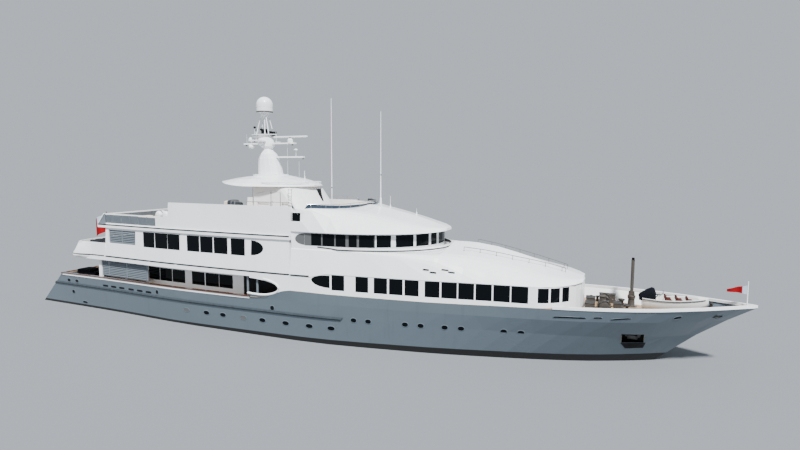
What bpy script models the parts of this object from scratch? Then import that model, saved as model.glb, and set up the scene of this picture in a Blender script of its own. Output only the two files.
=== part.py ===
"""Three-deck motor yacht with a raked stem, afloat, as a 1:2 scale model 30 m long.

Every size below is in metres of the full-size yacht, and SCALE brings it to the model.
X runs forward, Y to port and Z up. The origin is amidships on the centreline, at the waterline.
"""

import math

import bmesh
import bpy
from mathutils import Matrix, Vector

SCALE = 0.5
GAP = 0.0006
SLOPE_SEAT = 0.0018
STRAKE_EDGE = 0.015
SHARP_ANGLE = math.radians(35)

# Levels
MAIN_DECK = 2.05
FORE_DECK = 3.10
UPPER_SLAB = (4.60, 4.93)
HOOD_EDGE = 5.22
UPPER_SILL = 6.18
STERN_BULWARK_TOP = 6.13
WHEELHOUSE_FLOOR = 6.93
BRIDGE_SLAB = (7.55, 7.85)
BROW_EDGE = 8.20
SUNDECK = 8.95
COAMING_TOP = 10.0
HARDTOP_UNDERSIDE = 11.33

# Thicknesses
PLATING = 0.15
HOUSE_WALL = 0.12
GLASS = 0.05
BULWARK = 0.16

# Places along the hull
AFT_WELL = (-26.6, -1.9)
FORE_WELL = (17.85, 29.1)
FORE_FLOOR_TIP = 27.6
FORE_WELL_RIM = 4.0
FRONT_WALL_STEP = 18.1
SIDE_WALL_AFT = -4.4
CAP_AFT = -27.05
BOW_CAP_AFT = 17.9
UPPER_STERN = -25.4
UPPER_SHELL_AFT = -20.8
MIDSHIP_SEAM = -0.75
BRIDGE_DECK_AFT = -21.7
COAMING_AFT = -13.4
SUNDECK_FRONT = 2.95
NOSE_START = 16.3
NOSE_TIP = 19.65
WHEELHOUSE_BEND = 2.6
WHEELHOUSE_TIP = 9.2
BROW_TIP = 9.78
HOUSE_INSET = 1.3
HOUSE_AFT = -17.0

# Stern gear and fins
RUDDER_X = -26.3
RUDDER_TOP = -1.10
SHAFT_Y = 2.15
SHAFT_Z = -2.15
SHAFT_EXIT = -13.0
PROPELLER_X = -24.4
FIN_X = 1.0
FIN_LEAN = math.radians(48)

# Masthead, crane and stern gear on deck
RADAR_X = -4.3
RADOME_X = -6.83
WHIP_FORWARD_X = 4.05
WHIP_RADIUS = 0.045
CRANE_X = 22.75
CRANE_Y = 1.9
ANCHOR_POCKET_X = (22.11, 23.47)
ANCHOR_POCKET_Z = (1.53, 2.21)
ANCHOR_POCKET_BACK = 1.20

# Deck edge: place along the hull, half-breadth
DECK_EDGE = (
    (-30.0, 4.25),
    (-21.3, 4.74),
    (-11.6, 5.54),
    (-1.9, 5.83),
    (7.7, 5.23),
    (14.5, 4.44),
    (19.35, 4.00),
    (23.2, 3.24),
    (27.1, 1.64),
    (29.0, 0.60),
    (30.0, 0.0),
)

# Top edge of the grey hull: place along the hull, height
SHEER = (
    (-30.0, 2.92),
    (-9.7, 2.98),
    (-3.7, 3.02),
    (-2.6, 3.25),
    (-1.7, 3.62),
    (-0.75, 3.80),
    (3.0, 3.74),
    (9.0, 3.72),
    (17.4, 3.84),
    (30.0, 4.15),
)

# Hull lines under the deck edge, from the knuckle down to the keel: place, half-breadth, height
HULL_LINES = (
    ((-27.4, 4.32, 2.60), (-20, 4.82, 2.62), (-10, 5.62, 2.65), (0, 5.77, 3.00), (8, 5.18, 3.00),
     (14.5, 4.38, 3.03), (19.4, 3.85, 3.12), (23.2, 2.90, 3.20), (26.5, 1.25, 3.20), (28.4, 0, 3.20)),
    ((-28.0, 4.28, 2.00), (-20, 4.80, 2.00), (-10, 5.60, 2.00), (0, 5.74, 2.00), (8, 5.08, 2.00),
     (14.5, 4.08, 2.00), (19.4, 3.25, 2.00), (23.2, 1.90, 2.00), (26.65, 0, 2.00)),
    ((-30.0, 4.15, 0), (-20, 4.70, 0), (-10, 5.48, 0), (0, 5.64, 0), (8, 4.82, 0),
     (14.5, 3.55, 0), (19.4, 2.20, 0), (22.5, 0.90, 0), (24.25, 0, 0)),
    ((-29.9, 3.90, -0.20), (-20, 4.50, -0.60), (-10, 5.30, -0.95), (0, 5.50, -1.05), (10, 4.35, -1.05),
     (18, 2.15, -1.05), (24.0, 0, -0.60)),
    ((-29.8, 3.20, -0.42), (-20, 3.90, -1.20), (-10, 4.70, -2.00), (0, 4.90, -2.30), (10, 3.65, -2.30),
     (18, 1.50, -2.10), (23.8, 0, -1.10)),
    ((-29.7, 1.50, -0.50), (-20, 1.90, -1.50), (-10, 2.20, -2.65), (0, 2.40, -3.15), (10, 1.70, -3.15),
     (18, 0.65, -2.85), (23.6, 0, -1.60)),
    ((-29.6, 0, -0.52), (-20, 0, -1.58), (-10, 0, -2.80), (0, 0, -3.30), (10, 0, -3.30),
     (18, 0, -3.10), (23.3, 0, -2.00)),
)
HULL_STATIONS = (-27, -24, -21, -18, -15, -12, -9, -6, -3.7, -2.8, -2.1, -1.4, -0.75, 0.9, 2.2, 4.5, 7, 9.5,
                 12, 14.2, 16.3, 17.9, 19.6, 21.2, 22.8, 24.3, 25.7, 27, 28.2, 29.2, 30)

STRAKE_STATIONS = 17

# Colours: red, green, blue, roughness, metallic
WHITE = (0.80, 0.82, 0.84, 0.28, 0.0)
HULL_GREY = (0.33, 0.40, 0.44, 0.25, 0.45)
BLACK_GLASS = (0.01, 0.012, 0.014, 0.08, 0.0)
VARNISH = (0.23, 0.09, 0.04, 0.30, 0.0)
RUBBER_GREY = (0.06, 0.07, 0.08, 0.50, 0.0)
LOUVRE_GREY = (0.42, 0.44, 0.46, 0.40, 0.0)
BRONZE = (0.55, 0.38, 0.16, 0.35, 1.0)
STEEL = (0.62, 0.63, 0.64, 0.30, 1.0)
ANTIFOULING = (0.02, 0.02, 0.022, 0.60, 0.0)
DARK_CUSHION = (0.03, 0.035, 0.04, 0.80, 0.0)
TENDER_WHITE = (0.78, 0.78, 0.76, 0.40, 0.0)
WOOD = (0.42, 0.27, 0.14, 0.55, 0.0)


def clear_scene():
    for obj in list(bpy.data.objects):
        bpy.data.objects.remove(obj)


def make_material(name, finish):
    material = bpy.data.materials.new(name)
    material.use_nodes = True
    shader = material.node_tree.nodes["Principled BSDF"]
    shader.inputs["Base Color"].default_value = (*finish[:3], 1.0)
    shader.inputs["Roughness"].default_value = finish[3]
    shader.inputs["Metallic"].default_value = finish[4]
    return material


def smooth_line(points):
    """A function through (place, value) pairs: cubic between them, with no overshoot."""
    xs = [p[0] for p in points]
    ys = [p[1] for p in points]
    steps = [(ys[i + 1] - ys[i]) / (xs[i + 1] - xs[i]) for i in range(len(xs) - 1)]
    slopes = [steps[0]]
    for before, after in zip(steps, steps[1:]):
        slopes.append(0.0 if before * after <= 0 else 2 * before * after / (before + after))
    slopes.append(steps[-1])

    def value(x):
        if x <= xs[0]:
            return ys[0]
        if x >= xs[-1]:
            return ys[-1]
        i = max(k for k in range(len(xs) - 1) if xs[k] <= x)
        span = xs[i + 1] - xs[i]
        t = (x - xs[i]) / span
        return (
            ys[i] * (1 + 2 * t) * (1 - t) ** 2
            + ys[i + 1] * t * t * (3 - 2 * t)
            + slopes[i] * span * t * (1 - t) ** 2
            - slopes[i + 1] * span * t * t * (1 - t)
        )

    return value


def faceted(points):
    """The smooth line through the points, made straight between the hull stations."""
    curve = smooth_line(points)
    values = [curve(station) for station in HULL_STATIONS]

    def value(x):
        x = min(max(x, HULL_STATIONS[0]), HULL_STATIONS[-1])
        i = max(k for k in range(len(HULL_STATIONS) - 1) if HULL_STATIONS[k] <= x)
        share = (x - HULL_STATIONS[i]) / (HULL_STATIONS[i + 1] - HULL_STATIONS[i])
        return values[i] * (1 - share) + values[i + 1] * share

    return value


deck_half = faceted(DECK_EDGE)
sheer = faceted(SHEER)


def add_object(name, bm, finish, origin=(0, 0, 0)):
    """The bmesh, drawn in full-size metres, as a named object with its origin at a full-size place."""
    bmesh.ops.remove_doubles(bm, verts=bm.verts, dist=1e-5)
    bmesh.ops.recalc_face_normals(bm, faces=bm.faces)
    bmesh.ops.translate(bm, verts=bm.verts, vec=-Vector(origin))
    bmesh.ops.scale(bm, verts=bm.verts, vec=(SCALE, SCALE, SCALE))
    mesh = bpy.data.meshes.new(name)
    bm.to_mesh(mesh)
    bm.free()
    mesh.shade_smooth()
    mesh.set_sharp_from_angle(angle=SHARP_ANGLE)
    obj = bpy.data.objects.new(name, mesh)
    bpy.context.scene.collection.objects.link(obj)
    obj.location = Vector(origin) * SCALE
    obj.data.materials.append(make_material(name, finish))
    return obj


def cut(target, bm, operation="DIFFERENCE"):
    """Cuts the bmesh from the target, or joins it to the target, with an exact Boolean."""
    helper = add_object(f"{target.name}_cutter_{len(target.modifiers)}", bm, RUBBER_GREY)
    helper.hide_render = True
    helper.display_type = "WIRE"
    boolean = target.modifiers.new("boolean", "BOOLEAN")
    boolean.operation = operation
    boolean.solver = "EXACT"
    boolean.object = helper


def loft(bm, rings, cap_start=True, cap_end=True):
    """A skin over closed rings of equal length."""
    rows = [[bm.verts.new(p) for p in ring] for ring in rings]
    count = len(rows[0])
    for one, two in zip(rows, rows[1:]):
        for i in range(count):
            j = (i + 1) % count
            bm.faces.new((one[i], one[j], two[j], two[i]))
    if cap_start:
        bm.faces.new(list(reversed(rows[0])))
    if cap_end:
        bm.faces.new(rows[-1])


def add_box(bm, x, y, z):
    """A box between the pairs of values."""
    ring = ((x[0], y[0]), (x[1], y[0]), (x[1], y[1]), (x[0], y[1]))
    loft(bm, [[(a, b, height) for a, b in ring] for height in z])


def add_prism(bm, outline, y):
    """A flat outline in the XZ plane, run across the hull between two values of y."""
    loft(bm, [[(a, side, b) for a, b in outline] for side in y])


def add_plan_prism(bm, outline, z):
    """A flat outline in plan, run up between two levels."""
    loft(bm, [[(a, b, height) for a, b in outline] for height in z])


def add_turned(bm, centre, profile, sides=16, axis="Z"):
    """A turned solid: profile rows are radius and distance along the axis."""
    rings = []
    for radius, along in profile:
        ring = []
        for i in range(sides):
            turn = 2 * math.pi * i / sides
            a = radius * math.cos(turn)
            b = radius * math.sin(turn)
            offset = {"Z": (a, b, along), "X": (along, a, b), "Y": (a, along, b)}[axis]
            ring.append(Vector(centre) + Vector(offset))
        rings.append(ring)
    loft(bm, rings)


def add_rod(bm, start, end, radius, sides=8, end_radius=None):
    """A straight round bar between two points."""
    start = Vector(start)
    end = Vector(end)
    direction = (end - start).normalized()
    turn = direction.to_track_quat("Z", "Y").to_matrix()
    rings = []
    for point, size in ((start, radius), (end, radius if end_radius is None else end_radius)):
        angles = [2 * math.pi * i / sides for i in range(sides)]
        rings.append([point + turn @ Vector((size * math.cos(a), size * math.sin(a), 0)) for a in angles])
    loft(bm, rings)


def deck_edge_points(x_aft, x_fwd, inset):
    """Points along the port deck edge, from aft to forward, one at each hull station between."""
    between = [station for station in HULL_STATIONS if x_aft + 0.05 < station < x_fwd - 0.05]
    return [(x, deck_half(x) - inset) for x in (x_aft, *between, x_fwd)]


def nose_points(x_start, x_tip, half, count=8):
    """A quarter ellipse from the side, at x_start, to the centreline at x_tip, without its first point."""
    angles = [math.pi / 2 * (i + 1) / count for i in range(count)]
    return [(x_start + (x_tip - x_start) * math.sin(a), half * math.cos(a)) for a in angles]


def mirrored(points):
    """A path from port aft, round the bow, to starboard aft."""
    back = [(x, -y) for x, y in reversed(points) if y > 1e-6]
    return list(points) + back


def side_normals(path):
    """Mitred offsets to the right of travel, for one metre of thickness, at each point of a plan path."""
    faces = []
    for (x0, y0), (x1, y1) in zip(path, path[1:]):
        along = Vector((x1 - x0, y1 - y0)).normalized()
        faces.append(Vector((along.y, -along.x)))
    normals = [faces[0]]
    for one, two in zip(faces, faces[1:]):
        normals.append((one + two) / (1 + one.dot(two)))
    normals.append(faces[-1])
    return normals


def add_wall(bm, path, low, high, thickness, lean=0.0, lean_from=0.0):
    """An upright wall along a plan path, thick to the right of travel, between two heights of x."""
    rings = []
    for (x, y), inward in zip(path, side_normals(path)):
        ring = []
        for depth, edge in ((0, low), (0, high), (thickness, high), (thickness, low)):
            shift = inward * (depth + lean * (edge(x) - lean_from))
            ring.append((x + shift.x, y + shift.y, edge(x + shift.x)))
        rings.append(ring)
    loft(bm, rings)


def level(value):
    return lambda x: value


def add_shaft_line(hull, side):
    """A fixed shaft tube with its strut hub and one strut, joined to the hull."""
    y = side * SHAFT_Y
    front = PROPELLER_X + 0.20 + GAP
    tube = bmesh.new()
    profile = ((0.19, front), (0.19, front + 0.55), (0.10, front + 0.70), (0.10, SHAFT_EXIT))
    add_turned(tube, (0, y, SHAFT_Z), profile, 16, "X")
    cut(hull, tube, "UNION")
    strut = bmesh.new()
    aft = front + 0.13
    ring = ((aft, -0.04), (aft + 0.20, -0.05), (aft + 0.38, 0), (aft + 0.20, 0.05), (aft, 0.04))
    loft(strut, [[(a, y + b + shift, z) for a, b in ring] for z, shift in ((SHAFT_Z, 0.0), (-0.70, -0.53 * side))])
    cut(hull, strut, "UNION")


def hull_rings():
    """Sections of the hull at its stations: starboard sheer, down round the keel, up to port sheer."""
    rings = []
    first = HULL_STATIONS[0]
    length = HULL_STATIONS[-1] - first
    lines = []
    for line in HULL_LINES:
        half = smooth_line([(p[0], p[1]) for p in line])
        height = smooth_line([(p[0], p[2]) for p in line])
        lines.append((line[0][0], line[-1][0], half, height))
    for station in HULL_STATIONS:
        share = (station - first) / length
        side = [(station, deck_half(station), sheer(station))]
        for aft, fwd, half, height in lines:
            x = aft + (fwd - aft) * share
            side.append((x, half(x), height(x)))
        keel = side.pop()
        starboard = [(x, -y, z) for x, y, z in side]
        rings.append(starboard + [keel] + list(reversed(side)))
    return rings


def add_fore_well(bm):
    """The foredeck well: its floor follows the knuckle and its bulwarks flare out to the deck edge."""
    knuckle = smooth_line([(p[0], p[1]) for p in HULL_LINES[0]])
    rim = deck_edge_points(*FORE_WELL, BULWARK)
    shorter = (FORE_FLOOR_TIP - FORE_WELL[0]) / (FORE_WELL[1] - FORE_WELL[0])
    floor = []
    for x, _ in rim:
        x = FORE_WELL[0] + (x - FORE_WELL[0]) * shorter
        floor.append((x, knuckle(x) - 2 * BULWARK))
    rings = [[(x, y, FORE_DECK) for x, y in mirrored(floor)]]
    rings += [[(x, y, z) for x, y in mirrored(rim)] for z in (FORE_WELL_RIM, FORE_WELL_RIM + 2)]
    loft(bm, rings)


def build_hull():
    """Decked hull: lines lofted to the stem, with the deck wells, keel bar and stern bosses."""
    bm = bmesh.new()
    loft(bm, hull_rings(), cap_end=False)
    hull = add_object("hull", bm, HULL_GREY)

    wells = bmesh.new()
    aft = mirrored(deck_edge_points(*AFT_WELL, BULWARK))
    add_plan_prism(wells, aft, (MAIN_DECK, 6.0))
    add_fore_well(wells)
    cut(hull, wells)
    pockets = bmesh.new()
    for side in (1, -1):
        add_box(pockets, ANCHOR_POCKET_X, sorted((side * ANCHOR_POCKET_BACK, side * 4.0)), ANCHOR_POCKET_Z)
    cut(hull, pockets)

    keel = bmesh.new()
    add_prism(keel, ((-19, -3.45), (14, -3.45), (16, -3.0), (-8, -2.0), (-19, -1.2)), (-0.18, 0.18))
    cut(hull, keel, "UNION")
    bosses = bmesh.new()
    for side in (1, -1):
        add_turned(bosses, (RUDDER_X, side * SHAFT_Y, 0), ((0.24, RUDDER_TOP), (0.24, -0.45)), 16)
        direction = fin_direction(side)
        base = Vector(fin_root(side))
        add_rod(bosses, base, base - direction * 0.7, 0.55, 20)
    cut(hull, bosses, "UNION")
    for side in (1, -1):
        add_shaft_line(hull, side)


def fin_direction(side):
    """Spanwise direction of a stabiliser fin, outward and down."""
    return Vector((0, side * math.sin(FIN_LEAN), -math.cos(FIN_LEAN)))


def fin_root(side):
    return (FIN_X, side * 4.95, -2.25)


def build_rudders():
    for side, name in ((1, "rudder_port"), (-1, "rudder_starboard")):
        bm = bmesh.new()
        y = side * SHAFT_Y
        add_turned(bm, (RUDDER_X, y, 0), ((0.13, -1.40), (0.13, RUDDER_TOP - GAP)), 12)
        post = add_object(name, bm, ANTIFOULING, origin=(RUDDER_X, y, RUDDER_TOP))
        blade = bmesh.new()
        rings = []
        for z, fore, aft, thick in ((-1.22, 0.42, 0.95, 0.11), (-2.95, 0.36, 0.80, 0.08)):
            outline = ((fore, 0), (fore * 0.6, thick), (-aft * 0.3, thick), (-aft, 0.015))
            ring = [(RUDDER_X + a, y + b, z) for a, b in outline]
            ring += [(RUDDER_X + a, y - b, z) for a, b in reversed(outline[1:])]
            rings.append(ring)
        loft(blade, rings)
        cut(post, blade, "UNION")


def build_propellers():
    """Four-bladed propellers, each turning behind the hub of its shaft strut."""
    for side, word in ((1, "port"), (-1, "starboard")):
        y = side * SHAFT_Y
        centre = (PROPELLER_X, y, SHAFT_Z)
        bm = bmesh.new()
        profile = ((0.17, 0.20), (0.17, -0.20), (0.12, -0.36), (0.03, -0.46))
        add_turned(bm, centre, profile, 16, "X")
        hub = add_object(f"propeller_{word}", bm, BRONZE, origin=centre)
        blades = bmesh.new()
        for turn in range(4):
            rings = []
            for radius, chord, pitch in ((0.11, 0.14, 62), (0.35, 0.50, 45), (0.62, 0.56, 32), (0.85, 0.20, 25)):
                angle = math.radians(pitch)
                ring = []
                for along, thick in ((-0.5, 0.0), (0.0, 0.026), (0.5, 0.0), (0.0, -0.026)):
                    offset = along * chord
                    x = offset * math.sin(angle) + thick * math.cos(angle)
                    across = side * (offset * math.cos(angle) - thick * math.sin(angle))
                    ring.append(Vector((x, across, radius)))
                rings.append(ring)
            rotate = Matrix.Rotation(math.pi / 2 * turn, 3, "X")
            loft(blades, [[Vector(centre) + rotate @ p for p in ring] for ring in rings])
        cut(hub, blades, "UNION")


def build_fins():
    for side, name in ((1, "stabiliser_fin_port"), (-1, "stabiliser_fin_starboard")):
        direction = fin_direction(side)
        chordwise = Vector((1, 0, 0))
        across = direction.cross(chordwise)
        root = Vector(fin_root(side))
        bm = bmesh.new()
        add_rod(bm, root + direction * GAP, root + direction * 0.16, 0.14, 14)
        pin = add_object(name, bm, ANTIFOULING, origin=tuple(root))
        blade = bmesh.new()
        rings = []
        for out, fore, aft, thick in ((0.06, 0.55, 1.0, 0.12), (1.45, 0.30, 0.75, 0.05)):
            outline = ((fore, 0), (fore * 0.5, thick), (-aft * 0.4, thick), (-aft, 0.012))
            ring = [root + direction * out + chordwise * a + across * b for a, b in outline]
            ring += [root + direction * out + chordwise * a - across * b for a, b in reversed(outline[1:])]
            rings.append(ring)
        loft(blade, rings)
        cut(pin, blade, "UNION")


def build_rails_on_hull():
    """Varnished cap rail aft, white cap at the bow, and the dark half-round rubbing strake."""
    bm = bmesh.new()
    side = deck_edge_points(CAP_AFT, SIDE_WALL_AFT - GAP, -0.05)
    stern_round = [(x, -y) for x, y in side][::-1] + side
    add_wall(bm, stern_round, lambda x: sheer(x) + SLOPE_SEAT, lambda x: sheer(x) + 0.09, 0.28)
    add_object("aft_cap_rail", bm, VARNISH)

    bm = bmesh.new()
    path = mirrored(deck_edge_points(BOW_CAP_AFT, 29.2, -0.04) + [(29.75, 0.25), (30.0, 0.0)])
    add_wall(bm, path, lambda x: sheer(x) + SLOPE_SEAT, lambda x: sheer(x) + 0.16, 0.24)
    add_object("bow_cap_rail", bm, WHITE)

    for side, word in ((1, "port"), (-1, "starboard")):
        bm = bmesh.new()
        lines = [[Vector(p) for p in ring[-2:-5:-1]] for ring in hull_rings()[:STRAKE_STATIONS]]
        lines[-1] = [one.lerp(two, 0.5) for one, two in zip(lines[-2], lines[-1])]
        rings = []
        for above, rub, below in lines:
            upper = rub.lerp(above, 0.10 / (above.z - rub.z))
            lower = rub.lerp(below, 0.10 / (rub.z - below.z))
            section = ((upper, STRAKE_EDGE), (upper, 0.08), (rub, 0.13), (lower, 0.08), (lower, STRAKE_EDGE),
                       (rub, 2 * GAP))
            rings.append([(p.x, side * (p.y + out), p.z) for p, out in section])
        loft(bm, rings)
        add_object(f"rubbing_strake_{word}", bm, RUBBER_GREY)


def window_boxes(bm, spans, z):
    for x in spans:
        add_box(bm, x, (-7, 7), z)


def eye_outline(tip, far, z):
    """A pointed opening: flat at far, closing in two arcs to its tip."""
    middle = tip[1]
    outline = [(far, z[0]), (far, z[1])]
    count = 5
    reach = tip[0] - far
    for edge in (z[1], z[0]):
        arc = []
        for i in range(1, count):
            angle = math.pi / 2 * i / count
            arc.append((far + reach * math.sin(angle), middle + (edge - middle) * math.cos(angle)))
        if edge == z[1]:
            outline += arc + [tip]
        else:
            outline += list(reversed(arc))
    return outline


def add_glass(name, path, z, inset=0.0, lean=0.0, lean_from=0.0):
    bm = bmesh.new()
    shifted = [(x + n.x * inset, y + n.y * inset) for (x, y), n in zip(path, side_normals(path))]
    add_wall(bm, shifted, level(z[0]), level(z[1]), GLASS, lean, lean_from)
    return add_object(name, bm, BLACK_GLASS)


def hood_seam(x):
    """Lower edge of the upper plating amidships and forward."""
    rise = min(max((x - 0.9) / 1.3, 0), 1)
    return UPPER_SLAB[1] + (HOOD_EDGE - UPPER_SLAB[1]) * rise


def forward_path():
    side = deck_edge_points(SIDE_WALL_AFT, MIDSHIP_SEAM - 0.02, 0.03)
    side += deck_edge_points(MIDSHIP_SEAM, NOSE_START, 0.03)
    half = side[-1][1]
    return mirrored(side + nose_points(NOSE_START, NOSE_TIP, half, 9))


MAIN_FORWARD_WINDOWS = (
    (2.68, 3.58), (4.53, 5.39), (5.91, 6.80), (7.04, 7.92), (8.16, 9.06), (9.58, 10.50),
    (10.72, 11.67), (11.85, 12.81), (13.02, 13.98), (14.18, 15.15), (15.34, 16.32),
)
MAIN_WINDOW_HEIGHTS = (4.15, 5.12)


def build_main_forward():
    """Full-beam plating of the raised forward deck, with its row of windows round to the nose."""
    def low(x):
        return FORE_DECK + GAP if x > FRONT_WALL_STEP else sheer(x) + SLOPE_SEAT

    def high(x):
        return (UPPER_SLAB[0] if x < MIDSHIP_SEAM - 0.01 else hood_seam(x)) - GAP

    bm = bmesh.new()
    path = forward_path()
    add_wall(bm, path, low, high, PLATING)
    shell = add_object("main_deck_forward_plating", bm, WHITE)
    holes = bmesh.new()
    window_boxes(holes, MAIN_FORWARD_WINDOWS, MAIN_WINDOW_HEIGHTS)
    add_prism(holes, eye_outline((1.0, 4.74), 2.50, (4.20, 5.14)), (-7, 7))
    add_prism(holes, eye_outline((-1.75, 3.86), -5.0, (2.6, 4.50)), (-7, 7))
    for side in (1, -1):
        for turn, half_width in ((17.5, 0.36), (31, 0.34), (44, 0.32)):
            angle = math.radians(turn)
            half = deck_half(NOSE_START) - 0.03
            x = NOSE_START + (NOSE_TIP - NOSE_START) * math.sin(angle)
            y = half * math.cos(angle)
            along = Vector(((NOSE_TIP - NOSE_START) * math.cos(angle), -half * math.sin(angle))).normalized()
            out = Vector((-along.y, along.x))
            ring = []
            for a, b in ((-1, -0.5), (1, -0.5), (1, 0.5), (-1, 0.5)):
                spot = Vector((x, y)) + along * a * half_width + out * b
                ring.append((spot.x, side * spot.y))
            add_plan_prism(holes, ring, MAIN_WINDOW_HEIGHTS)
    cut(shell, holes)
    path = mirrored(deck_edge_points(0.7, NOSE_START, 0.03)
                    + nose_points(NOSE_START, NOSE_TIP, deck_half(NOSE_START) - 0.03, 9))
    add_glass("main_deck_forward_glass", path, (4.10, 5.16), PLATING + GAP)


MAIN_HOUSE_WINDOWS = (
    (-16.55, -15.35), (-15.10, -13.85), (-13.60, -12.30), (-11.34, -10.13), (-9.85, -8.60), (-8.38, -7.17),
)
SALON_DOORS = 0.95
DOOR_CLEARANCE = 0.01
DOOR_LEAF = 0.06
DOOR_PIN_RADIUS = 0.008


def add_door(name, bm, finish, hinge):
    """A door leaf whose hinge pin stands at its outer corner, just clear of the sill at the hinge point."""
    leaf = add_object(name, bm, finish, origin=hinge)
    pin = bmesh.new()
    x, y, sill = hinge
    add_rod(pin, (x, y, sill + GAP), (x, y, sill + 0.10), DOOR_PIN_RADIUS, 8)
    cut(leaf, pin, "UNION")


def build_main_house():
    """Main deck house aft, set in from the bulwark, with its salon doors in the aft bulkhead."""
    side = deck_edge_points(HOUSE_AFT, AFT_WELL[1] - GAP, HOUSE_INSET)
    path = [(x, -y) for x, y in side][::-1] + side
    bm = bmesh.new()
    add_wall(bm, path, level(MAIN_DECK + GAP), level(UPPER_SLAB[0] - GAP), HOUSE_WALL)
    house = add_object("main_deck_house", bm, WHITE)
    holes = bmesh.new()
    window_boxes(holes, MAIN_HOUSE_WINDOWS, (3.15, 4.16))
    doorway = SALON_DOORS + DOOR_CLEARANCE
    add_box(holes, (HOUSE_AFT - 0.5, HOUSE_AFT + 0.5), (-doorway, doorway), (MAIN_DECK - 0.1, 4.20))
    cut(house, holes)
    inside = deck_edge_points(-16.7, -6.9, HOUSE_INSET + HOUSE_WALL + GAP)
    bm = bmesh.new()
    add_wall(bm, mirrored(inside), level(3.05), level(4.26), GLASS)
    add_object("main_deck_house_glass", bm, BLACK_GLASS)
    for word, sign in (("port", 1), ("starboard", -1)):
        bm = bmesh.new()
        span = sorted((sign * DOOR_CLEARANCE, sign * SALON_DOORS))
        face = HOUSE_AFT + DOOR_CLEARANCE
        add_box(bm, (face, face + DOOR_LEAF), span, (MAIN_DECK + 0.02, 4.18))
        hinge = (face, sign * SALON_DOORS, MAIN_DECK)
        add_door(f"salon_door_{word}", bm, BLACK_GLASS, hinge)


def build_upper_deck():
    """Upper deck slab and the bulwark that runs round the stern."""
    bm = bmesh.new()
    outline = mirrored([(UPPER_STERN, 3.2)] + deck_edge_points(UPPER_STERN + 0.35, MIDSHIP_SEAM - 0.03, 0.03))
    add_plan_prism(bm, outline, UPPER_SLAB)
    slab = add_object("upper_deck_slab", bm, WHITE)
    posts = bmesh.new()
    for sign in (1, -1):
        y = sign * (deck_half(-21.9) - 0.45)
        add_box(posts, (-22.12, -21.78), (y - 0.10, y + 0.10), (MAIN_DECK + GAP, UPPER_SLAB[0] + 0.1))
    cut(slab, posts, "UNION")

    bm = bmesh.new()
    side = deck_edge_points(UPPER_STERN + 1.0, UPPER_SHELL_AFT - GAP, 0.08)
    path = side[::-1] + [(UPPER_STERN + 0.6, 3.9), (UPPER_STERN + 0.35, 2.6), (UPPER_STERN + 0.25, 0)]
    whole = path + [(x, -y) for x, y in path[-2::-1]]
    add_wall(bm, whole[::-1], level(UPPER_SLAB[1] + GAP), level(STERN_BULWARK_TOP), BULWARK)
    add_object("upper_stern_bulwark", bm, WHITE)


UPPER_WINDOWS = (
    (-15.75, -14.49), (-14.30, -12.97), (-12.83, -11.59), (-10.67, -9.46), (-9.27, -8.07), (-7.84, -6.58),
    (-6.14, -4.90),
)
UPPER_WINDOW_HEIGHTS = (UPPER_SILL, 7.38)
UPPER_BULKHEAD = -16.6
UPPER_LEAN = 0.06


def build_upper_shell():
    """Full-beam plating of the upper deck, with its windows, and the bulkhead aft."""
    bm = bmesh.new()
    side = deck_edge_points(UPPER_SHELL_AFT, MIDSHIP_SEAM - GAP, 0.06)
    add_wall(bm, mirrored(side), level(UPPER_SLAB[1] + GAP), level(BRIDGE_SLAB[0] - GAP), PLATING,
             UPPER_LEAN, UPPER_SLAB[1])
    shell = add_object("upper_deck_plating", bm, WHITE)
    bulkhead = bmesh.new()
    reach = deck_half(UPPER_BULKHEAD) - 0.30
    heights = (UPPER_SLAB[1] + GAP, BRIDGE_SLAB[0] - GAP)
    add_box(bulkhead, (UPPER_BULKHEAD, UPPER_BULKHEAD + HOUSE_WALL), (-reach, reach), heights)
    cut(shell, bulkhead, "UNION")
    holes = bmesh.new()
    window_boxes(holes, UPPER_WINDOWS, UPPER_WINDOW_HEIGHTS)
    add_box(holes, (-20.40, -16.85), (-7, 7), UPPER_WINDOW_HEIGHTS)
    add_prism(holes, eye_outline((-3.15, 6.78), -4.30, (6.20, 7.36)), (-7, 7))
    add_box(holes, (UPPER_BULKHEAD - 0.3, UPPER_BULKHEAD + 0.5), (-1.6, 1.6), (5.05, 7.20))
    cut(shell, holes)
    inside = deck_edge_points(-16.2, -2.2, 0.06 + PLATING + 2 * GAP)
    bm = bmesh.new()
    add_wall(bm, mirrored(inside), level(6.12), level(7.44), GLASS, UPPER_LEAN, UPPER_SLAB[1])
    add_object("upper_deck_glass", bm, BLACK_GLASS)


# Slatted side screens: deck, panel edges from aft, inset from the deck edge, lower and upper edge
LOUVRES = (
    ("main_deck", (-21.65, -20.75, -18.35, -15.65), 0.34, 3.13, UPPER_SLAB[0]),
    ("upper_deck", (-20.36, -18.64, -16.89), 0.24, UPPER_SILL, 7.38),
)
LOUVRE_THICKNESS = 0.05
LOUVRE_PITCH = 0.135
LOUVRE_SLOT = 0.04
PANEL_FRAME = 0.07


def slot_levels(z, pitch, height):
    """Lower and upper edges of level slots, spread evenly between two heights."""
    count = int((z[1] - z[0]) / pitch)
    rise = (z[1] - z[0]) / count
    middles = [z[0] + rise * (i + 0.5) for i in range(count)]
    return [(middle - height / 2, middle + height / 2) for middle in middles]


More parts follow.
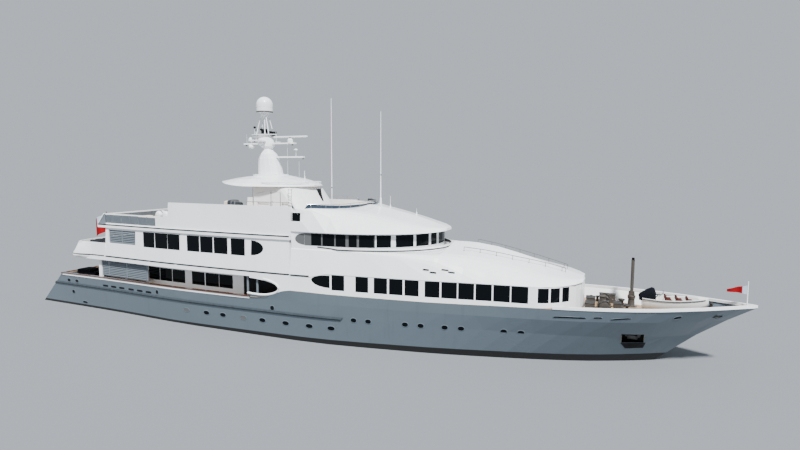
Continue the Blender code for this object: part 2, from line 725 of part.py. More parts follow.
def build_louvres():
    """Slatted side screens of both aft decks."""
    for deck, panels, inset, low, high in LOUVRES:
        levels = slot_levels((low + PANEL_FRAME, high - PANEL_FRAME), LOUVRE_PITCH, LOUVRE_SLOT)
        for word, sign in (("port", 1), ("starboard", -1)):
            bm = bmesh.new()
            points = [(x, sign * y) for x, y in deck_edge_points(panels[0], panels[-1], inset)]
            if sign < 0:
                points.reverse()
            add_wall(bm, points, level(low + GAP), level(high - GAP), LOUVRE_THICKNESS)
            louvre = add_object(f"{deck}_louvre_{word}", bm, LOUVRE_GREY)
            slots = bmesh.new()
            for aft, fwd in zip(panels, panels[1:]):
                for z in levels:
                    add_box(slots, (aft + PANEL_FRAME, fwd - PANEL_FRAME), sorted((sign * 3, sign * 7)), z)
            cut(louvre, slots)


# Low slatted screen round the after end of the bridge deck
SCREEN_TOP = 8.8
SCREEN_THICKNESS = 0.10
SCREEN_SIDE_PANELS = 6
SCREEN_SIDE_END = -14.3
SCREEN_STERN_PANELS = 7
SCREEN_STERN_HALF = 4.35
SCREEN_SLOTS = (7.97, 8.67)
SCREEN_PITCH = 0.115
SCREEN_SLOT = 0.055


def build_bridge_screen():
    """The low screen on the bridge deck, with level slots between its posts."""
    aft = BRIDGE_DECK_AFT + 0.9
    side = deck_edge_points(aft, COAMING_AFT - GAP, 0.22)
    whole = [(x, -y) for x, y in side][::-1]
    path = side[::-1] + whole[::-1]
    bm = bmesh.new()
    add_wall(bm, path[::-1], level(BRIDGE_SLAB[1] + GAP), level(SCREEN_TOP), SCREEN_THICKNESS)
    screen = add_object("bridge_deck_screen", bm, LOUVRE_GREY)
    slots = bmesh.new()
    start = aft + SCREEN_THICKNESS
    length = (SCREEN_SIDE_END - start) / SCREEN_SIDE_PANELS
    width = 2 * SCREEN_STERN_HALF / SCREEN_STERN_PANELS
    for z in slot_levels(SCREEN_SLOTS, SCREEN_PITCH, SCREEN_SLOT):
        for i in range(SCREEN_SIDE_PANELS):
            edge = start + length * i
            add_box(slots, (edge + PANEL_FRAME, edge + length - PANEL_FRAME), (-7, 7), z)
        for i in range(SCREEN_STERN_PANELS):
            edge = width * i - SCREEN_STERN_HALF
            reach = (aft - SCREEN_THICKNESS, aft + SCREEN_THICKNESS + PANEL_FRAME / 2)
            add_box(slots, reach, (edge + PANEL_FRAME, edge + width - PANEL_FRAME), z)
    cut(screen, slots)


# The sundeck's well: how far the coaming stands in from the deck edge, its side openings, the deck beam
COAMING_INSET = 0.22
COAMING_OPENING = (-0.62, 0.28)
COAMING_OPENING_HEIGHTS = (SUNDECK, 9.58)
DECK_BEAM = (-1.0, -0.78)


def sundeck_outline(x_aft, clearance):
    """Plan of the sundeck inside its coaming, with a round front."""
    side = deck_edge_points(x_aft, MIDSHIP_SEAM, COAMING_INSET + PLATING + clearance)
    return mirrored(side + nose_points(MIDSHIP_SEAM, SUNDECK_FRONT - clearance, side[-1][1], 10))


def build_bridge_deck():
    """Bridge deck slab, the tall coaming along both sides of the sundeck, and the sundeck floor."""
    bm = bmesh.new()
    outline = mirrored(deck_edge_points(BRIDGE_DECK_AFT, MIDSHIP_SEAM - 0.03, 0.10))
    add_plan_prism(bm, outline, BRIDGE_SLAB)
    add_object("bridge_deck_slab", bm, WHITE)

    def high(x):
        return COAMING_TOP if x > -12.8 else 8.9

    bm = bmesh.new()
    side = deck_edge_points(COAMING_AFT, -12.85, COAMING_INSET)
    side += deck_edge_points(-12.75, MIDSHIP_SEAM - GAP, COAMING_INSET)
    for path in (side, [(x, -y) for x, y in reversed(side)]):
        add_wall(bm, path, level(BRIDGE_SLAB[1] + GAP), high, PLATING)
    reach = deck_half(DECK_BEAM[0]) - COAMING_INSET - PLATING / 2
    beam_heights = (BRIDGE_SLAB[1] + GAP, SUNDECK - 0.2 - GAP)
    coaming = add_object("sundeck_coaming", bm, WHITE)
    beam = bmesh.new()
    add_box(beam, DECK_BEAM, (-reach, reach), beam_heights)
    cut(coaming, beam, "UNION")

    bm = bmesh.new()
    inside = sundeck_outline(COAMING_AFT + 0.2, 2 * GAP)
    add_plan_prism(bm, inside, (SUNDECK - 0.2, SUNDECK))
    floor = add_object("sundeck_floor", bm, WOOD)
    riser = bmesh.new()
    reach = inside[0][1] - 0.01
    add_box(riser, (inside[0][0], inside[0][0] + 0.1), (-reach, reach), (BRIDGE_SLAB[1] + GAP, SUNDECK - 0.1))
    cut(floor, riser, "UNION")


def wheelhouse_path(inset, x_aft=MIDSHIP_SEAM, tip=WHEELHOUSE_TIP):
    side = deck_edge_points(x_aft, WHEELHOUSE_BEND, inset)
    return mirrored(side + nose_points(WHEELHOUSE_BEND, tip, side[-1][1], 12))


WHEELHOUSE_SIDE_WINDOWS = ((0.42, 1.30), (1.48, 2.36))

# Panes round the front: turn from abeam in degrees, half-width
WHEELHOUSE_PANES = ((8, 0.42), (17, 0.42), (28, 0.62), (41, 0.62), (54, 0.62), (67, 0.62), (80, 0.50))


def build_wheelhouse():
    """Wheelhouse wall, curved round the front, with its window band."""
    bm = bmesh.new()
    path = wheelhouse_path(0.30, MIDSHIP_SEAM)
    add_wall(bm, path, level(WHEELHOUSE_FLOOR + GAP), level(BROW_EDGE - GAP), HOUSE_WALL)
    house = add_object("wheelhouse", bm, WHITE)
    holes = bmesh.new()
    add_prism(holes, eye_outline((-0.45, 7.62), 0.35, (7.22, 8.10)), (-7, 7))
    half = deck_half(WHEELHOUSE_BEND) - 0.30
    for turn, half_width in WHEELHOUSE_PANES:
        angle = math.radians(turn)
        x = WHEELHOUSE_BEND + (WHEELHOUSE_TIP - WHEELHOUSE_BEND) * math.sin(angle)
        y = half * math.cos(angle)
        slope = Vector(((WHEELHOUSE_TIP - WHEELHOUSE_BEND) * math.cos(angle), -half * math.sin(angle)))
        along = slope.normalized()
        out = Vector((-along.y, along.x))
        for side in (1, -1):
            ring = []
            for a, b in ((-1, -0.6), (1, -0.6), (1, 0.6), (-1, 0.6)):
                spot = Vector((x, y)) + along * a * half_width + out * b
                ring.append((spot.x, side * spot.y))
            add_plan_prism(holes, ring, (7.22, 8.10))
    window_boxes(holes, WHEELHOUSE_SIDE_WINDOWS, (7.22, 8.10))
    cut(house, holes)
    add_glass("wheelhouse_glass", wheelhouse_path(0.30, -0.6), (7.15, 8.16), HOUSE_WALL + GAP)


def hood_edge_half(x, inset, start, tip, x_start_half):
    if x <= start:
        return deck_half(x) - inset
    share = min((x - start) / (tip - start), 0.9995)
    return x_start_half * math.sqrt(1 - share * share)


def hood_section(x, edge, bottom, corner_inset, corner_z, roundness, crown, shrink):
    """Half outline of a hood from its edge to the centreline: side, rounded corner and crown."""
    edge = max(edge - shrink, 0.02)
    corner = Vector((max(edge - corner_inset, 0.01), corner_z - shrink))
    foot = Vector((edge, bottom))
    top = Vector((0.0, crown - shrink))
    down = foot - corner
    inward = top - corner
    a = corner + down * min(roundness, 0.95 * down.length) / max(down.length, 1e-6)
    b = corner + inward * min(roundness, 0.9 * inward.length) / max(inward.length, 1e-6)
    points = [foot]
    count = 4
    for i in range(count + 1):
        t = i / count
        points.append(a * (1 - t) ** 2 + corner * 2 * t * (1 - t) + b * t * t)
    points.append(top)
    return [(x, p.x, p.y) for p in points]


def add_hood(bm, rows, edge, bottom, thickness=0.0):
    """A roof, solid or a shell open below: place, corner inset, corner height, roundness, crown height."""
    rings = []
    for x, *shape in rows:
        outer = hood_section(x, edge(x), bottom(x), *shape, 0.0)
        ring = outer + [(a, -b, c) for a, b, c in outer[-2::-1]]
        if thickness:
            inner = hood_section(x, edge(x), bottom(x), *shape, thickness)
            ring += (inner + [(a, -b, c) for a, b, c in inner[-2::-1]])[::-1]
        rings.append(ring)
    loft(bm, rings)


# Forward hood: place, corner inset, corner height, roundness, crown height
HOOD_ROWS = (
    (MIDSHIP_SEAM, 0.24, 6.93, 0.06, 6.93),
    (0.9, 0.24, 6.93, 0.06, 6.93),
    (2.2, 0.24, 6.93, 0.06, 6.93),
    (5.0, 0.26, 6.93, 0.08, 6.93),
    (7.5, 0.34, 6.92, 0.30, 6.93),
    (10.0, 0.50, 6.86, 0.70, 6.93),
    (10.25, 0.55, 6.84, 0.80, 7.40),
    (12.0, 0.75, 6.62, 1.00, 7.36),
    (13.5, 0.85, 6.36, 1.10, 7.15),
    (15.0, 0.90, 6.06, 1.10, 6.78),
    (16.3, 0.90, 5.84, 1.00, 6.42),
    (17.5, 0.80, 5.66, 0.90, 6.05),
    (18.5, 0.65, 5.54, 0.70, 5.74),
    (19.2, 0.45, 5.44, 0.40, 5.54),
    (19.6, 0.20, 5.38, 0.20, 5.42),
)

# Brow over the wheelhouse, which carries the forward end of the sundeck
BROW_ROWS = (
    (MIDSHIP_SEAM + GAP, 0.05, 9.95, 0.08, 9.98),
    (0.9, 0.35, 9.90, 0.25, 9.98),
    (2.2, 0.90, 9.80, 0.60, 9.98),
    (3.15, 1.40, 9.66, 0.90, 9.98),
    (4.0, 1.55, 9.50, 1.00, 9.90),
    (5.0, 1.55, 9.32, 1.10, 9.68),
    (5.8, 1.40, 9.14, 1.10, 9.50),
    (7.1, 1.10, 8.84, 1.00, 9.21),
    (8.2, 0.80, 8.62, 0.80, 8.88),
    (9.0, 0.50, 8.49, 0.50, 8.62),
    (9.5, 0.30, 8.42, 0.30, 8.46),
    (9.72, 0.10, 8.36, 0.10, 8.38),
)
BROW_INSET = 0.05


def brow_edge(x):
    """Half-breadth of the brow's edge: it leaves the coaming, reaches the hood below, then rounds off."""
    share = min((x - MIDSHIP_SEAM) / (WHEELHOUSE_BEND - MIDSHIP_SEAM), 1)
    inset = COAMING_INSET + (BROW_INSET - COAMING_INSET) * share
    return hood_edge_half(x, inset, WHEELHOUSE_BEND, BROW_TIP, deck_half(WHEELHOUSE_BEND) - BROW_INSET)


def crown_height(rows, x):
    """Height of a hood's crown at a place between two of its rows."""
    for (near, *_, near_top), (far, *_, far_top) in zip(rows, rows[1:]):
        if near <= x <= far:
            return near_top + (far_top - near_top) * (x - near) / (far - near)
    raise ValueError(f"no crown at {x}")


def build_hoods():
    """Forward hood over the main deck, and the brow over the wheelhouse with the sundeck's well in it."""
    start_half = deck_half(NOSE_START)
    bm = bmesh.new()
    add_hood(bm, HOOD_ROWS, lambda x: hood_edge_half(x, 0.0, NOSE_START, NOSE_TIP + 0.12, start_half),
             lambda x: hood_seam(x) + SLOPE_SEAT, PLATING)
    add_object("forward_hood", bm, WHITE)
    bm = bmesh.new()
    add_hood(bm, BROW_ROWS, brow_edge, level(BROW_EDGE + GAP))
    brow = add_object("wheelhouse_brow", bm, WHITE)
    well = bmesh.new()
    add_plan_prism(well, sundeck_outline(MIDSHIP_SEAM - 1.0, 0.0), (SUNDECK - 0.2 - GAP, COAMING_TOP + 1))
    cut(brow, well)
    opening = bmesh.new()
    add_box(opening, COAMING_OPENING, (-7, 7), COAMING_OPENING_HEIGHTS)
    cut(brow, opening)


SUNDECK_HOUSE = {
    "aft": -6.4,
    "front_low": -0.5,
    "front_high": -2.25,
    "half": 3.0,
    "top": HARDTOP_UNDERSIDE - GAP,
}
SUNDECK_HOUSE_NOSE = 1.2
SUNDECK_SILL = 9.0
SUNDECK_DOOR = (-4.20, -3.40)


def build_sundeck_house():
    """Small house on the sundeck, with a raked front, side doors and a front window."""
    size = SUNDECK_HOUSE
    rings = []
    for height, front in ((SUNDECK + GAP, size["front_low"]), (size["top"], size["front_high"])):
        half = size["half"]
        bend = front - SUNDECK_HOUSE_NOSE
        port = [(size["aft"], half - 0.5), (size["aft"] + 0.5, half), (bend, half)]
        port += nose_points(bend, front, half, 6)
        outer = mirrored(port)
        rings.append([(x, y, height) for x, y in outer])
    bm = bmesh.new()
    loft(bm, rings)
    house = add_object("sundeck_house", bm, WHITE)
    inner = bmesh.new()
    rings = []
    for height, front in ((SUNDECK - 0.5, size["front_low"] + 0.25), (size["top"] - 0.12, size["front_high"])):
        half = size["half"] - HOUSE_WALL
        bend = front - SUNDECK_HOUSE_NOSE
        port = [(size["aft"] + HOUSE_WALL, half - 0.5), (size["aft"] + 0.5 + HOUSE_WALL, half), (bend, half)]
        port += nose_points(bend, front - HOUSE_WALL - 0.05, half, 6)
        rings.append([(x, y, height) for x, y in mirrored(port)])
    loft(inner, rings)
    doorway = (SUNDECK_DOOR[0] - DOOR_CLEARANCE, SUNDECK_DOOR[1] + DOOR_CLEARANCE)
    add_box(inner, doorway, (-4, 4), (SUNDECK_SILL, 10.95))
    cut(house, inner)
    for word, sign in (("port", 1), ("starboard", -1)):
        bm = bmesh.new()
        face = size["half"] - DOOR_CLEARANCE
        leaf = sorted((sign * face, sign * (face - DOOR_LEAF)))
        add_box(bm, SUNDECK_DOOR, leaf, (SUNDECK_SILL + 0.01, 10.94))
        add_door(f"sundeck_door_{word}", bm, WHITE, (SUNDECK_DOOR[1], sign * face, SUNDECK_SILL))


# Hardtop: place, half-breadth, underside, top
HARDTOP_ROWS = (
    (-10.9, 0.5, 11.70, 11.74),
    (-10.55, 1.2, 11.66, 11.80),
    (-9.95, 1.9, 11.59, 11.92),
    (-9.1, 2.6, 11.49, 12.06),
    (-8.0, 3.15, 11.40, 12.20),
    (-6.6, 3.5, HARDTOP_UNDERSIDE, 12.32),
    (-5.0, 3.5, HARDTOP_UNDERSIDE, 12.32),
    (-4.3, 3.4, HARDTOP_UNDERSIDE, 12.20),
    (-3.5, 3.25, HARDTOP_UNDERSIDE, 12.02),
    (-3.0, 2.95, HARDTOP_UNDERSIDE, 11.90),
    (-2.55, 2.35, HARDTOP_UNDERSIDE, 11.74),
    (-2.2, 1.6, HARDTOP_UNDERSIDE, 11.62),
    (-1.98, 0.9, HARDTOP_UNDERSIDE, 11.54),
    (-1.9, 0.35, HARDTOP_UNDERSIDE, 11.48),
)


def build_hardtop():
    bm = bmesh.new()
    rings = []
    for x, half, low, high in HARDTOP_ROWS:
        top = []
        for i in range(9):
            angle = math.pi * i / 8
            rise = max(math.sin(angle), 0) ** 1.4
            top.append((x, half * math.cos(angle), low + 0.05 + (high - low - 0.05) * rise))
        rings.append(top + [(x, -half * 0.9, low), (x, half * 0.9, low)])
    loft(bm, rings)
    hardtop = add_object("hardtop", bm, WHITE)
    top = bmesh.new()
    add_turned(top, (-6.3, 0, 0), ((1.5, 12.10), (1.5, 12.345)), 24)
    cut(hardtop, top, "UNION")


# Lower mast: height, aft edge, forward edge, half-breadth
MAST_ROWS = (
    (12.345 + GAP, -7.42, -5.22, 0.80),
    (13.0, -7.40, -5.38, 0.78),
    (13.65, -7.38, -5.62, 0.74),
    (14.05, -7.22, -5.80, 0.66),
    (14.35, -6.92, -6.08, 0.48),
    (14.48, -6.80, -6.20, 0.42),
)

# Upper mast
UPPER_MAST_ROWS = (
    (14.48 + GAP, -6.84, -6.16, 0.40),
    (14.72, -7.20, -6.00, 0.52),
    (14.95, -7.52, -5.95, 0.52),
    (15.35, -7.50, -6.05, 0.48),
    (15.70, -7.48, -6.18, 0.44),
)


def mast_rings(rows, count=16):
    rings = []
    for z, aft, fwd, half in rows:
        middle = (aft + fwd) / 2
        reach = (fwd - aft) / 2
        ring = []
        for i in range(count):
            angle = 2 * math.pi * i / count
            along, across = math.cos(angle), math.sin(angle)
            x = middle + reach * math.copysign(abs(along) ** 0.8, along)
            ring.append((x, half * math.copysign(abs(across) ** 0.8, across), z))
        rings.append(ring)
    return rings


def build_mast():
    bm = bmesh.new()
    loft(bm, mast_rings(MAST_ROWS))
    mast = add_object("mast_lower", bm, WHITE)
    arm = bmesh.new()
    add_box(arm, (-5.9, -3.0), (-0.16, 0.16), (13.74, 13.86))
    sensor = ((0.12, 13.80), (0.26, 13.98), (0.26, 14.12), (0.14, 14.28), (0.03, 14.32))
    add_turned(arm, (-3.34, 0, 0), sensor, 12)
    cut(mast, arm, "UNION")

    bm = bmesh.new()
    loft(bm, mast_rings(UPPER_MAST_ROWS))
    upper = add_object("mast_upper", bm, WHITE)
    arms = bmesh.new()
    add_box(arms, (-8.95, -3.8), (-0.20, 0.20), (14.90, 15.01))
    add_box(arms, (-7.2, -6.4), (-1.7, 1.7), (15.10, 15.20))
    add_box(arms, (-8.1, -7.0), (-0.08, 0.08), (15.50, 15.60))
    cut(upper, arms, "UNION")
    fittings = bmesh.new()
    add_turned(fittings, (RADAR_X, 0, 0), ((0.24, 14.95), (0.24, 15.25), (0.16, 15.36)), 14)
    dome = ((0.10, 14.96), (0.10, 15.15), (0.27, 15.20), (0.27, 15.36), (0.16, 15.52), (0.03, 15.56))
    add_turned(fittings, (-8.25, 0, 0), dome, 12)
    cut(upper, fittings, "UNION")
    under = bmesh.new()
    lamp = ((0.04, 14.52), (0.18, 14.56), (0.27, 14.68), (0.27, 14.82), (0.14, 14.94))
    add_turned(under, (-8.25, 0, 0), lamp, 12)
    cut(upper, under, "UNION")

    bm = bmesh.new()
    add_box(bm, (RADAR_X - 1.67, RADAR_X + 1.67), (-0.14, 0.14), (15.36 + GAP, 15.58))
    add_object("radar_scanner", bm, WHITE, origin=(RADAR_X, 0, 15.36))

    bm = bmesh.new()
    for turn in range(3):
        angle = 2 * math.pi * turn / 3 + math.pi / 3
        foot = (RADOME_X + 0.36 * math.cos(angle), 0.32 * math.sin(angle), 15.74)
        head = (RADOME_X + 0.16 * math.cos(angle), 0.16 * math.sin(angle), 17.25)
        add_rod(bm, foot, head, 0.05, 8)
    stand = add_object("radome_stand", bm, STEEL)
    plate = bmesh.new()
    add_turned(plate, (RADOME_X, 0, 0), ((0.30, 17.18), (0.44, 17.49)), 16)
    cut(stand, plate, "UNION")
    feet = bmesh.new()
    add_turned(feet, (RADOME_X, 0, 0), ((0.44, 15.70 + GAP), (0.44, 15.76)), 16)
    cut(stand, feet, "UNION")
    bm = bmesh.new()
    add_turned(bm, (RADOME_X, 0, 0), ((0.50, 17.49 + GAP), (0.70, 17.74), (0.70, 18.25), (0.63, 18.58),
                                      (0.42, 18.83), (0.05, 18.93)), 24)
    add_object("radome", bm, WHITE)


def build_antennas():
    brow_top = crown_height(BROW_ROWS, WHIP_FORWARD_X - WHIP_RADIUS)
    whips = (("whip_antenna_aft", 1.30, -3.0, SUNDECK, 18.05),
             ("whip_antenna_forward", WHIP_FORWARD_X, 0, brow_top, 17.3))
    for name, x, y, foot, top in whips:
        bm = bmesh.new()
        add_rod(bm, (x, y, foot + GAP), (x, y, top), WHIP_RADIUS, 8, 0.02)
        add_object(name, bm, WHITE)


def build_foredeck():
    """Windlasses, the crane, the tender on its chocks and the jackstaff."""
    for word, sign in (("port", 1), ("starboard", -1)):
        bm = bmesh.new()
        base = (21.0, sign * 1.3, 0)
        add_turned(bm, base, ((0.42, FORE_DECK + GAP), (0.42, 3.35), (0.26, 3.45), (0.22, 3.8), (0.34, 3.95),
                              (0.34, 4.05), (0.1, 4.08)), 16)
        windlass = add_object(f"windlass_{word}", bm, STEEL)
        drum = bmesh.new()
        add_turned(drum, (21.0, sign * 1.3, 3.6), ((0.30, -0.75 * sign), (0.30, -0.1 * sign)), 12, "Y")
        cut(windlass, drum, "UNION")

    bm = bmesh.new()
    pedestal = ((0.40, FORE_DECK + GAP), (0.40, 3.2), (0.24, 3.25), (0.24, 3.75))
    add_turned(bm, (CRANE_X, CRANE_Y, 0), pedestal, 16)
    add_object("crane_pedestal", bm, WHITE)
    bm = bmesh.new()
    add_turned(bm, (CRANE_X, CRANE_Y, 0), ((0.24, 3.75 + GAP), (0.24, 3.90)), 16)
    head = add_object("crane_head", bm, STEEL, origin=(CRANE_X, CRANE_Y, 3.75))
    cheeks = bmesh.new()
    for sign in (1, -1):
        centre = CRANE_Y + sign * 0.19
        add_box(cheeks, (CRANE_X - 0.14, CRANE_X + 0.14), (centre - 0.04, centre + 0.04), (3.85, 4.22))
    cut(head, cheeks, "UNION")
    bm = bmesh.new()
    add_rod(bm, (CRANE_X, CRANE_Y - 0.1490, 4.05), (CRANE_X, CRANE_Y + 0.1490, 4.05), 0.10, 12)
    boom = add_object("crane_boom", bm, STEEL, origin=(CRANE_X, CRANE_Y, 4.05))
    tubes = bmesh.new()
    for shift in (-0.085, 0.085):
        place = (CRANE_X + shift * 0.6, CRANE_Y + shift)
        add_rod(tubes, (*place, 4.0), (*place, 6.45), 0.06, 10)
    cut(boom, tubes, "UNION")
    tip = bmesh.new()
    add_box(tip, (CRANE_X - 0.12, CRANE_X + 0.12), (CRANE_Y - 0.17, CRANE_Y + 0.17), (6.40, 6.62))
    cut(boom, tip, "UNION")

    build_tender()
    bm = bmesh.new()
    add_rod(bm, (29.4, 0, sheer(29.435) + GAP), (29.4, 0, 5.80), 0.035, 8, 0.025)
    add_object("jackstaff", bm, WHITE)


# Tender: place, half-breadth, keel height, gunwale height
TENDER_ROWS = (
    (23.3, 0.62, 3.40, 4.30),
    (24.3, 0.80, 3.40, 4.28),
    (25.4, 0.82, 3.40, 4.32),
    (26.3, 0.66, 3.52, 4.40),
    (27.0, 0.34, 3.75, 4.48),
    (27.3, 0.08, 4.05, 4.50),
)


def build_tender():
    bm = bmesh.new()
    rings = []
    for x, half, keel, gunwale in TENDER_ROWS:
        bilge = (x, half * 0.92, keel + 0.45 * (gunwale - keel))
        side = [(x, half, gunwale), bilge, (x, half * 0.5, keel + 0.1)]
        rings.append(side + [(x, 0, keel)] + [(a, -b, c) for a, b, c in reversed(side)])
    loft(bm, rings)
    tender = add_object("tender", bm, TENDER_WHITE)
    inside = bmesh.new()
    rings = []
    for x, half in ((23.45, 0.50), (25.4, 0.66), (26.5, 0.40)):
        rings.append([(x, half, 3.9), (x, half, 4.8), (x, -half, 4.8), (x, -half, 3.9)])
    loft(inside, rings)
    cut(tender, inside)
    bm = bmesh.new()
    add_box(bm, (23.8, 25.3), (-0.06, 0.06), (FORE_DECK + GAP, 3.25))
    chocks = add_object("tender_chocks", bm, WOOD)
    bearers = bmesh.new()
    for x in (23.9, 25.2):
        add_box(bearers, (x - 0.1, x + 0.1), (-0.42, 0.42), (FORE_DECK + GAP, 3.40 - GAP))
    cut(chocks, bearers, "UNION")


def build_anchors():
    for word, sign in (("port", 1), ("starboard", -1)):
        bm = bmesh.new()
        middle = sum(ANCHOR_POCKET_X) / 2
        low, high = ANCHOR_POCKET_Z
        outline = ((middle - 0.60, high - 0.05), (middle + 0.60, high - 0.05), (middle + 0.42, high - 0.30),
                   (middle + 0.12, low + 0.06), (middle - 0.12, low + 0.06), (middle - 0.42, high - 0.30))
        back = ANCHOR_POCKET_BACK + GAP
        add_prism(bm, outline, sorted((sign * back, sign * (back + 0.32))))
        add_object(f"anchor_{word}", bm, BRONZE)


def build_stern():
    """Liferaft canisters, the deck seat and the ensign staff."""
    for word, sign in (("port", 1), ("starboard", -1)):
        bm = bmesh.new()
        y = sign * (deck_half(-15.0) - 1.0)
        add_box(bm, (-14.7, -13.3), (y - 0.35, y + 0.35), (BRIDGE_SLAB[1] + GAP, 8.66))
        rafts = add_object(f"liferafts_{word}", bm, WHITE)
        canisters = bmesh.new()
        for x in (-14.36, -13.64):
            drum = ((0.30, -0.55), (0.34, -0.45), (0.34, 0.45), (0.30, 0.55))
            add_turned(canisters, (x, y, 8.9), drum, 12, "Y")
        cut(rafts, canisters, "UNION")
    bm = bmesh.new()
    base = MAIN_DECK + GAP
    add_prism(bm, ((-24.8, base), (-23.8, base), (-23.8, 2.50), (-24.5, 2.50), (-24.6, 2.95), (-24.8, 2.95)),
              (-2.2, 2.2))
    add_object("aft_deck_seat", bm, DARK_CUSHION)
    bm = bmesh.new()
    foot = (UPPER_STERN + 0.25 + BULWARK / 2, 0, STERN_BULWARK_TOP)
    add_turned(bm, foot, ((0.07, GAP), (0.07, 0.25), (0.05, 0.28)), 12)
    staff = add_object("ensign_staff", bm, VARNISH)
    pole = bmesh.new()
    start = Vector(foot) + Vector((0, 0, 0.15))
    add_rod(pole, start, start + Vector((-1.1, 0, 2.2)), 0.04, 8)
    cut(staff, pole, "UNION")


def main():
    clear_scene()
    build_hull()
    build_rudders()
    build_propellers()
    build_fins()
    build_rails_on_hull()
    build_main_forward()
    build_main_house()
    build_upper_deck()
    build_upper_shell()
    build_louvres()
    build_bridge_deck()
    build_bridge_screen()
    build_wheelhouse()
    build_hoods()
    build_sundeck_house()
    build_hardtop()
    build_mast()
    build_antennas()
    build_foredeck()
    build_anchors()
    build_stern()


main()
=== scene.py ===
"""Looks of the motor yacht: finishes, fittings, soft furnishings, flags, floor and camera.

Laid out as an add-on and run as a script. Sizes are in metres of the full-size yacht, as in the
part's source, and SCALE brings them to the 1:2 model. X runs forward, Y to port and Z up, from the
waterline amidships.
"""

import math

import bmesh
import bpy
from bpy.props import FloatProperty, FloatVectorProperty, IntProperty, PointerProperty
from mathutils import Matrix, Vector
from mathutils.bvhtree import BVHTree


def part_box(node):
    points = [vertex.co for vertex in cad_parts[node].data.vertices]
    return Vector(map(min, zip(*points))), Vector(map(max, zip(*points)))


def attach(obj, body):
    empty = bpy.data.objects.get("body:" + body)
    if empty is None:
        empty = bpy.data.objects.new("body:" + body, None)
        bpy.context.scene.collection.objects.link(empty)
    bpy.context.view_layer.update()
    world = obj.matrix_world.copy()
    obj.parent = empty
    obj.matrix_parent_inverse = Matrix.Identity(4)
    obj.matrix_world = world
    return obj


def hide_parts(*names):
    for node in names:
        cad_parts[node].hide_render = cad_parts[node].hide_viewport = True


bl_info = {
    "name": "Motor Yacht Looks",
    "version": (1, 0, 0),
    "blender": (4, 5, 0),
    "location": "3D View > Sidebar > Motor Yacht",
    "description": "Dresses the motor yacht's frame with its finishes, fittings and furnishings",
    "category": "Object",
}

SCALE = 0.5
SHARP_ANGLE = math.radians(32)
SIDES = (("port", 1), ("starboard", -1))
UP = Vector((0, 0, 1))
CORNERS = ((-1, -1), (1, -1), (1, 1), (-1, 1))

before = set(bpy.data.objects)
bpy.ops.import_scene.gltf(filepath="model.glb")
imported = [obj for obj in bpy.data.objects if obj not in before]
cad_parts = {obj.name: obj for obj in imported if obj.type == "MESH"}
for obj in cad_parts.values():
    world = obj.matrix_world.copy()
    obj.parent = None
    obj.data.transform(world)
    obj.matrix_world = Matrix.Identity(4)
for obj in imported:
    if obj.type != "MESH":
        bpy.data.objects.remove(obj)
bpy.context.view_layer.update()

# Levels of the yacht, in full-size metres
MAIN_DECK = 2.05
FORE_DECK = 3.10
UPPER_DECK = 4.93
BRIDGE_DECK = 7.85
SUNDECK = 8.95
COAMING_TOP = 10.0

# Distances from the centreline and the waterline that rays start at, clear of the yacht
OUTSIDE = 12.0
ABOVE = 30.0


def node_box(node):
    """Lowest and highest corner of a node, in full-size metres."""
    low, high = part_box(node)
    return low / SCALE, high / SCALE


def spaced(one, two, count):
    """Numbers from one to two in this many even steps."""
    return [one + (two - one) * i / count for i in range(count + 1)]


def around(count):
    """Angles evenly spaced round a circle."""
    return [2 * math.pi * i / count for i in range(count)]


def side_span(sign, one, two):
    """A span across the hull on one side, from two distances off the centreline."""
    return sorted((sign * one, sign * two))


def mirrored(line):
    """A line that ends on the centreline, carried on down the other side."""
    return [*line, *[Vector((p.x, -p.y, p.z)) for p in reversed(line[:-1])]]


# Sizes and colours that a user would change


def colour(name, description, default):
    return FloatVectorProperty(name=name, description=description, default=default, size=3, min=0.0,
                               max=1.0, subtype="COLOR")


def length(name, description, default):
    return FloatProperty(name=name, description=description, default=default, min=0.001,
                         subtype="DISTANCE", unit="LENGTH")


class YachtColours(bpy.types.PropertyGroup):
    """Colours of the paints, woods and cloths."""

    white: colour("White paint", "Superstructure and fittings", (0.86, 0.875, 0.89))
    hull: colour("Hull paint", "Metallic blue-grey topsides", (0.118, 0.152, 0.180))
    boot_top: colour("Boot-top", "Band at the waterline and the bottom paint", (0.003, 0.003, 0.003))
    glass: colour("Window glass", "Tinted panes, seen from outside", (0.002, 0.003, 0.004))
    varnish: colour("Varnish", "Varnished cap rails", (0.085, 0.032, 0.016))
    teak: colour("Teak", "Laid decks", (0.43, 0.29, 0.17))
    caulking: colour("Caulking", "Seams between the planks", (0.02, 0.02, 0.02))
    # The strake is dark rubber, made darker still as painted shade under it
    strake: colour("Strake", "Rubbing strake along the hull", (0.040, 0.052, 0.062))
    louvre: colour("Louvres", "Slatted screens of the aft decks", (0.135, 0.160, 0.185))
    steel: colour("Stainless steel", "Rails, posts and deck gear", (0.62, 0.63, 0.64))
    bronze: colour("Bronze", "Propellers and anchor pockets", (0.50, 0.34, 0.15))
    cushion: colour("Dark cushions", "Seats of the aft decks", (0.035, 0.040, 0.048))
    pale_cushion: colour("Pale cushions", "Sunpads and chairs of the upper decks", (0.62, 0.58, 0.50))
    leather: colour("Tender seats", "Red-brown seats of the tender", (0.060, 0.014, 0.010))
    cover: colour("Deck cover", "Dark blue canvas cover on the foredeck", (0.002, 0.003, 0.006))
    flag_red: colour("Flag red", "Ensign and pennant", (0.24, 0.002, 0.005))
    flag_pale: colour("Flag pale blue", "Canton of the ensign and hoist of the pennant", (0.40, 0.45, 0.56))


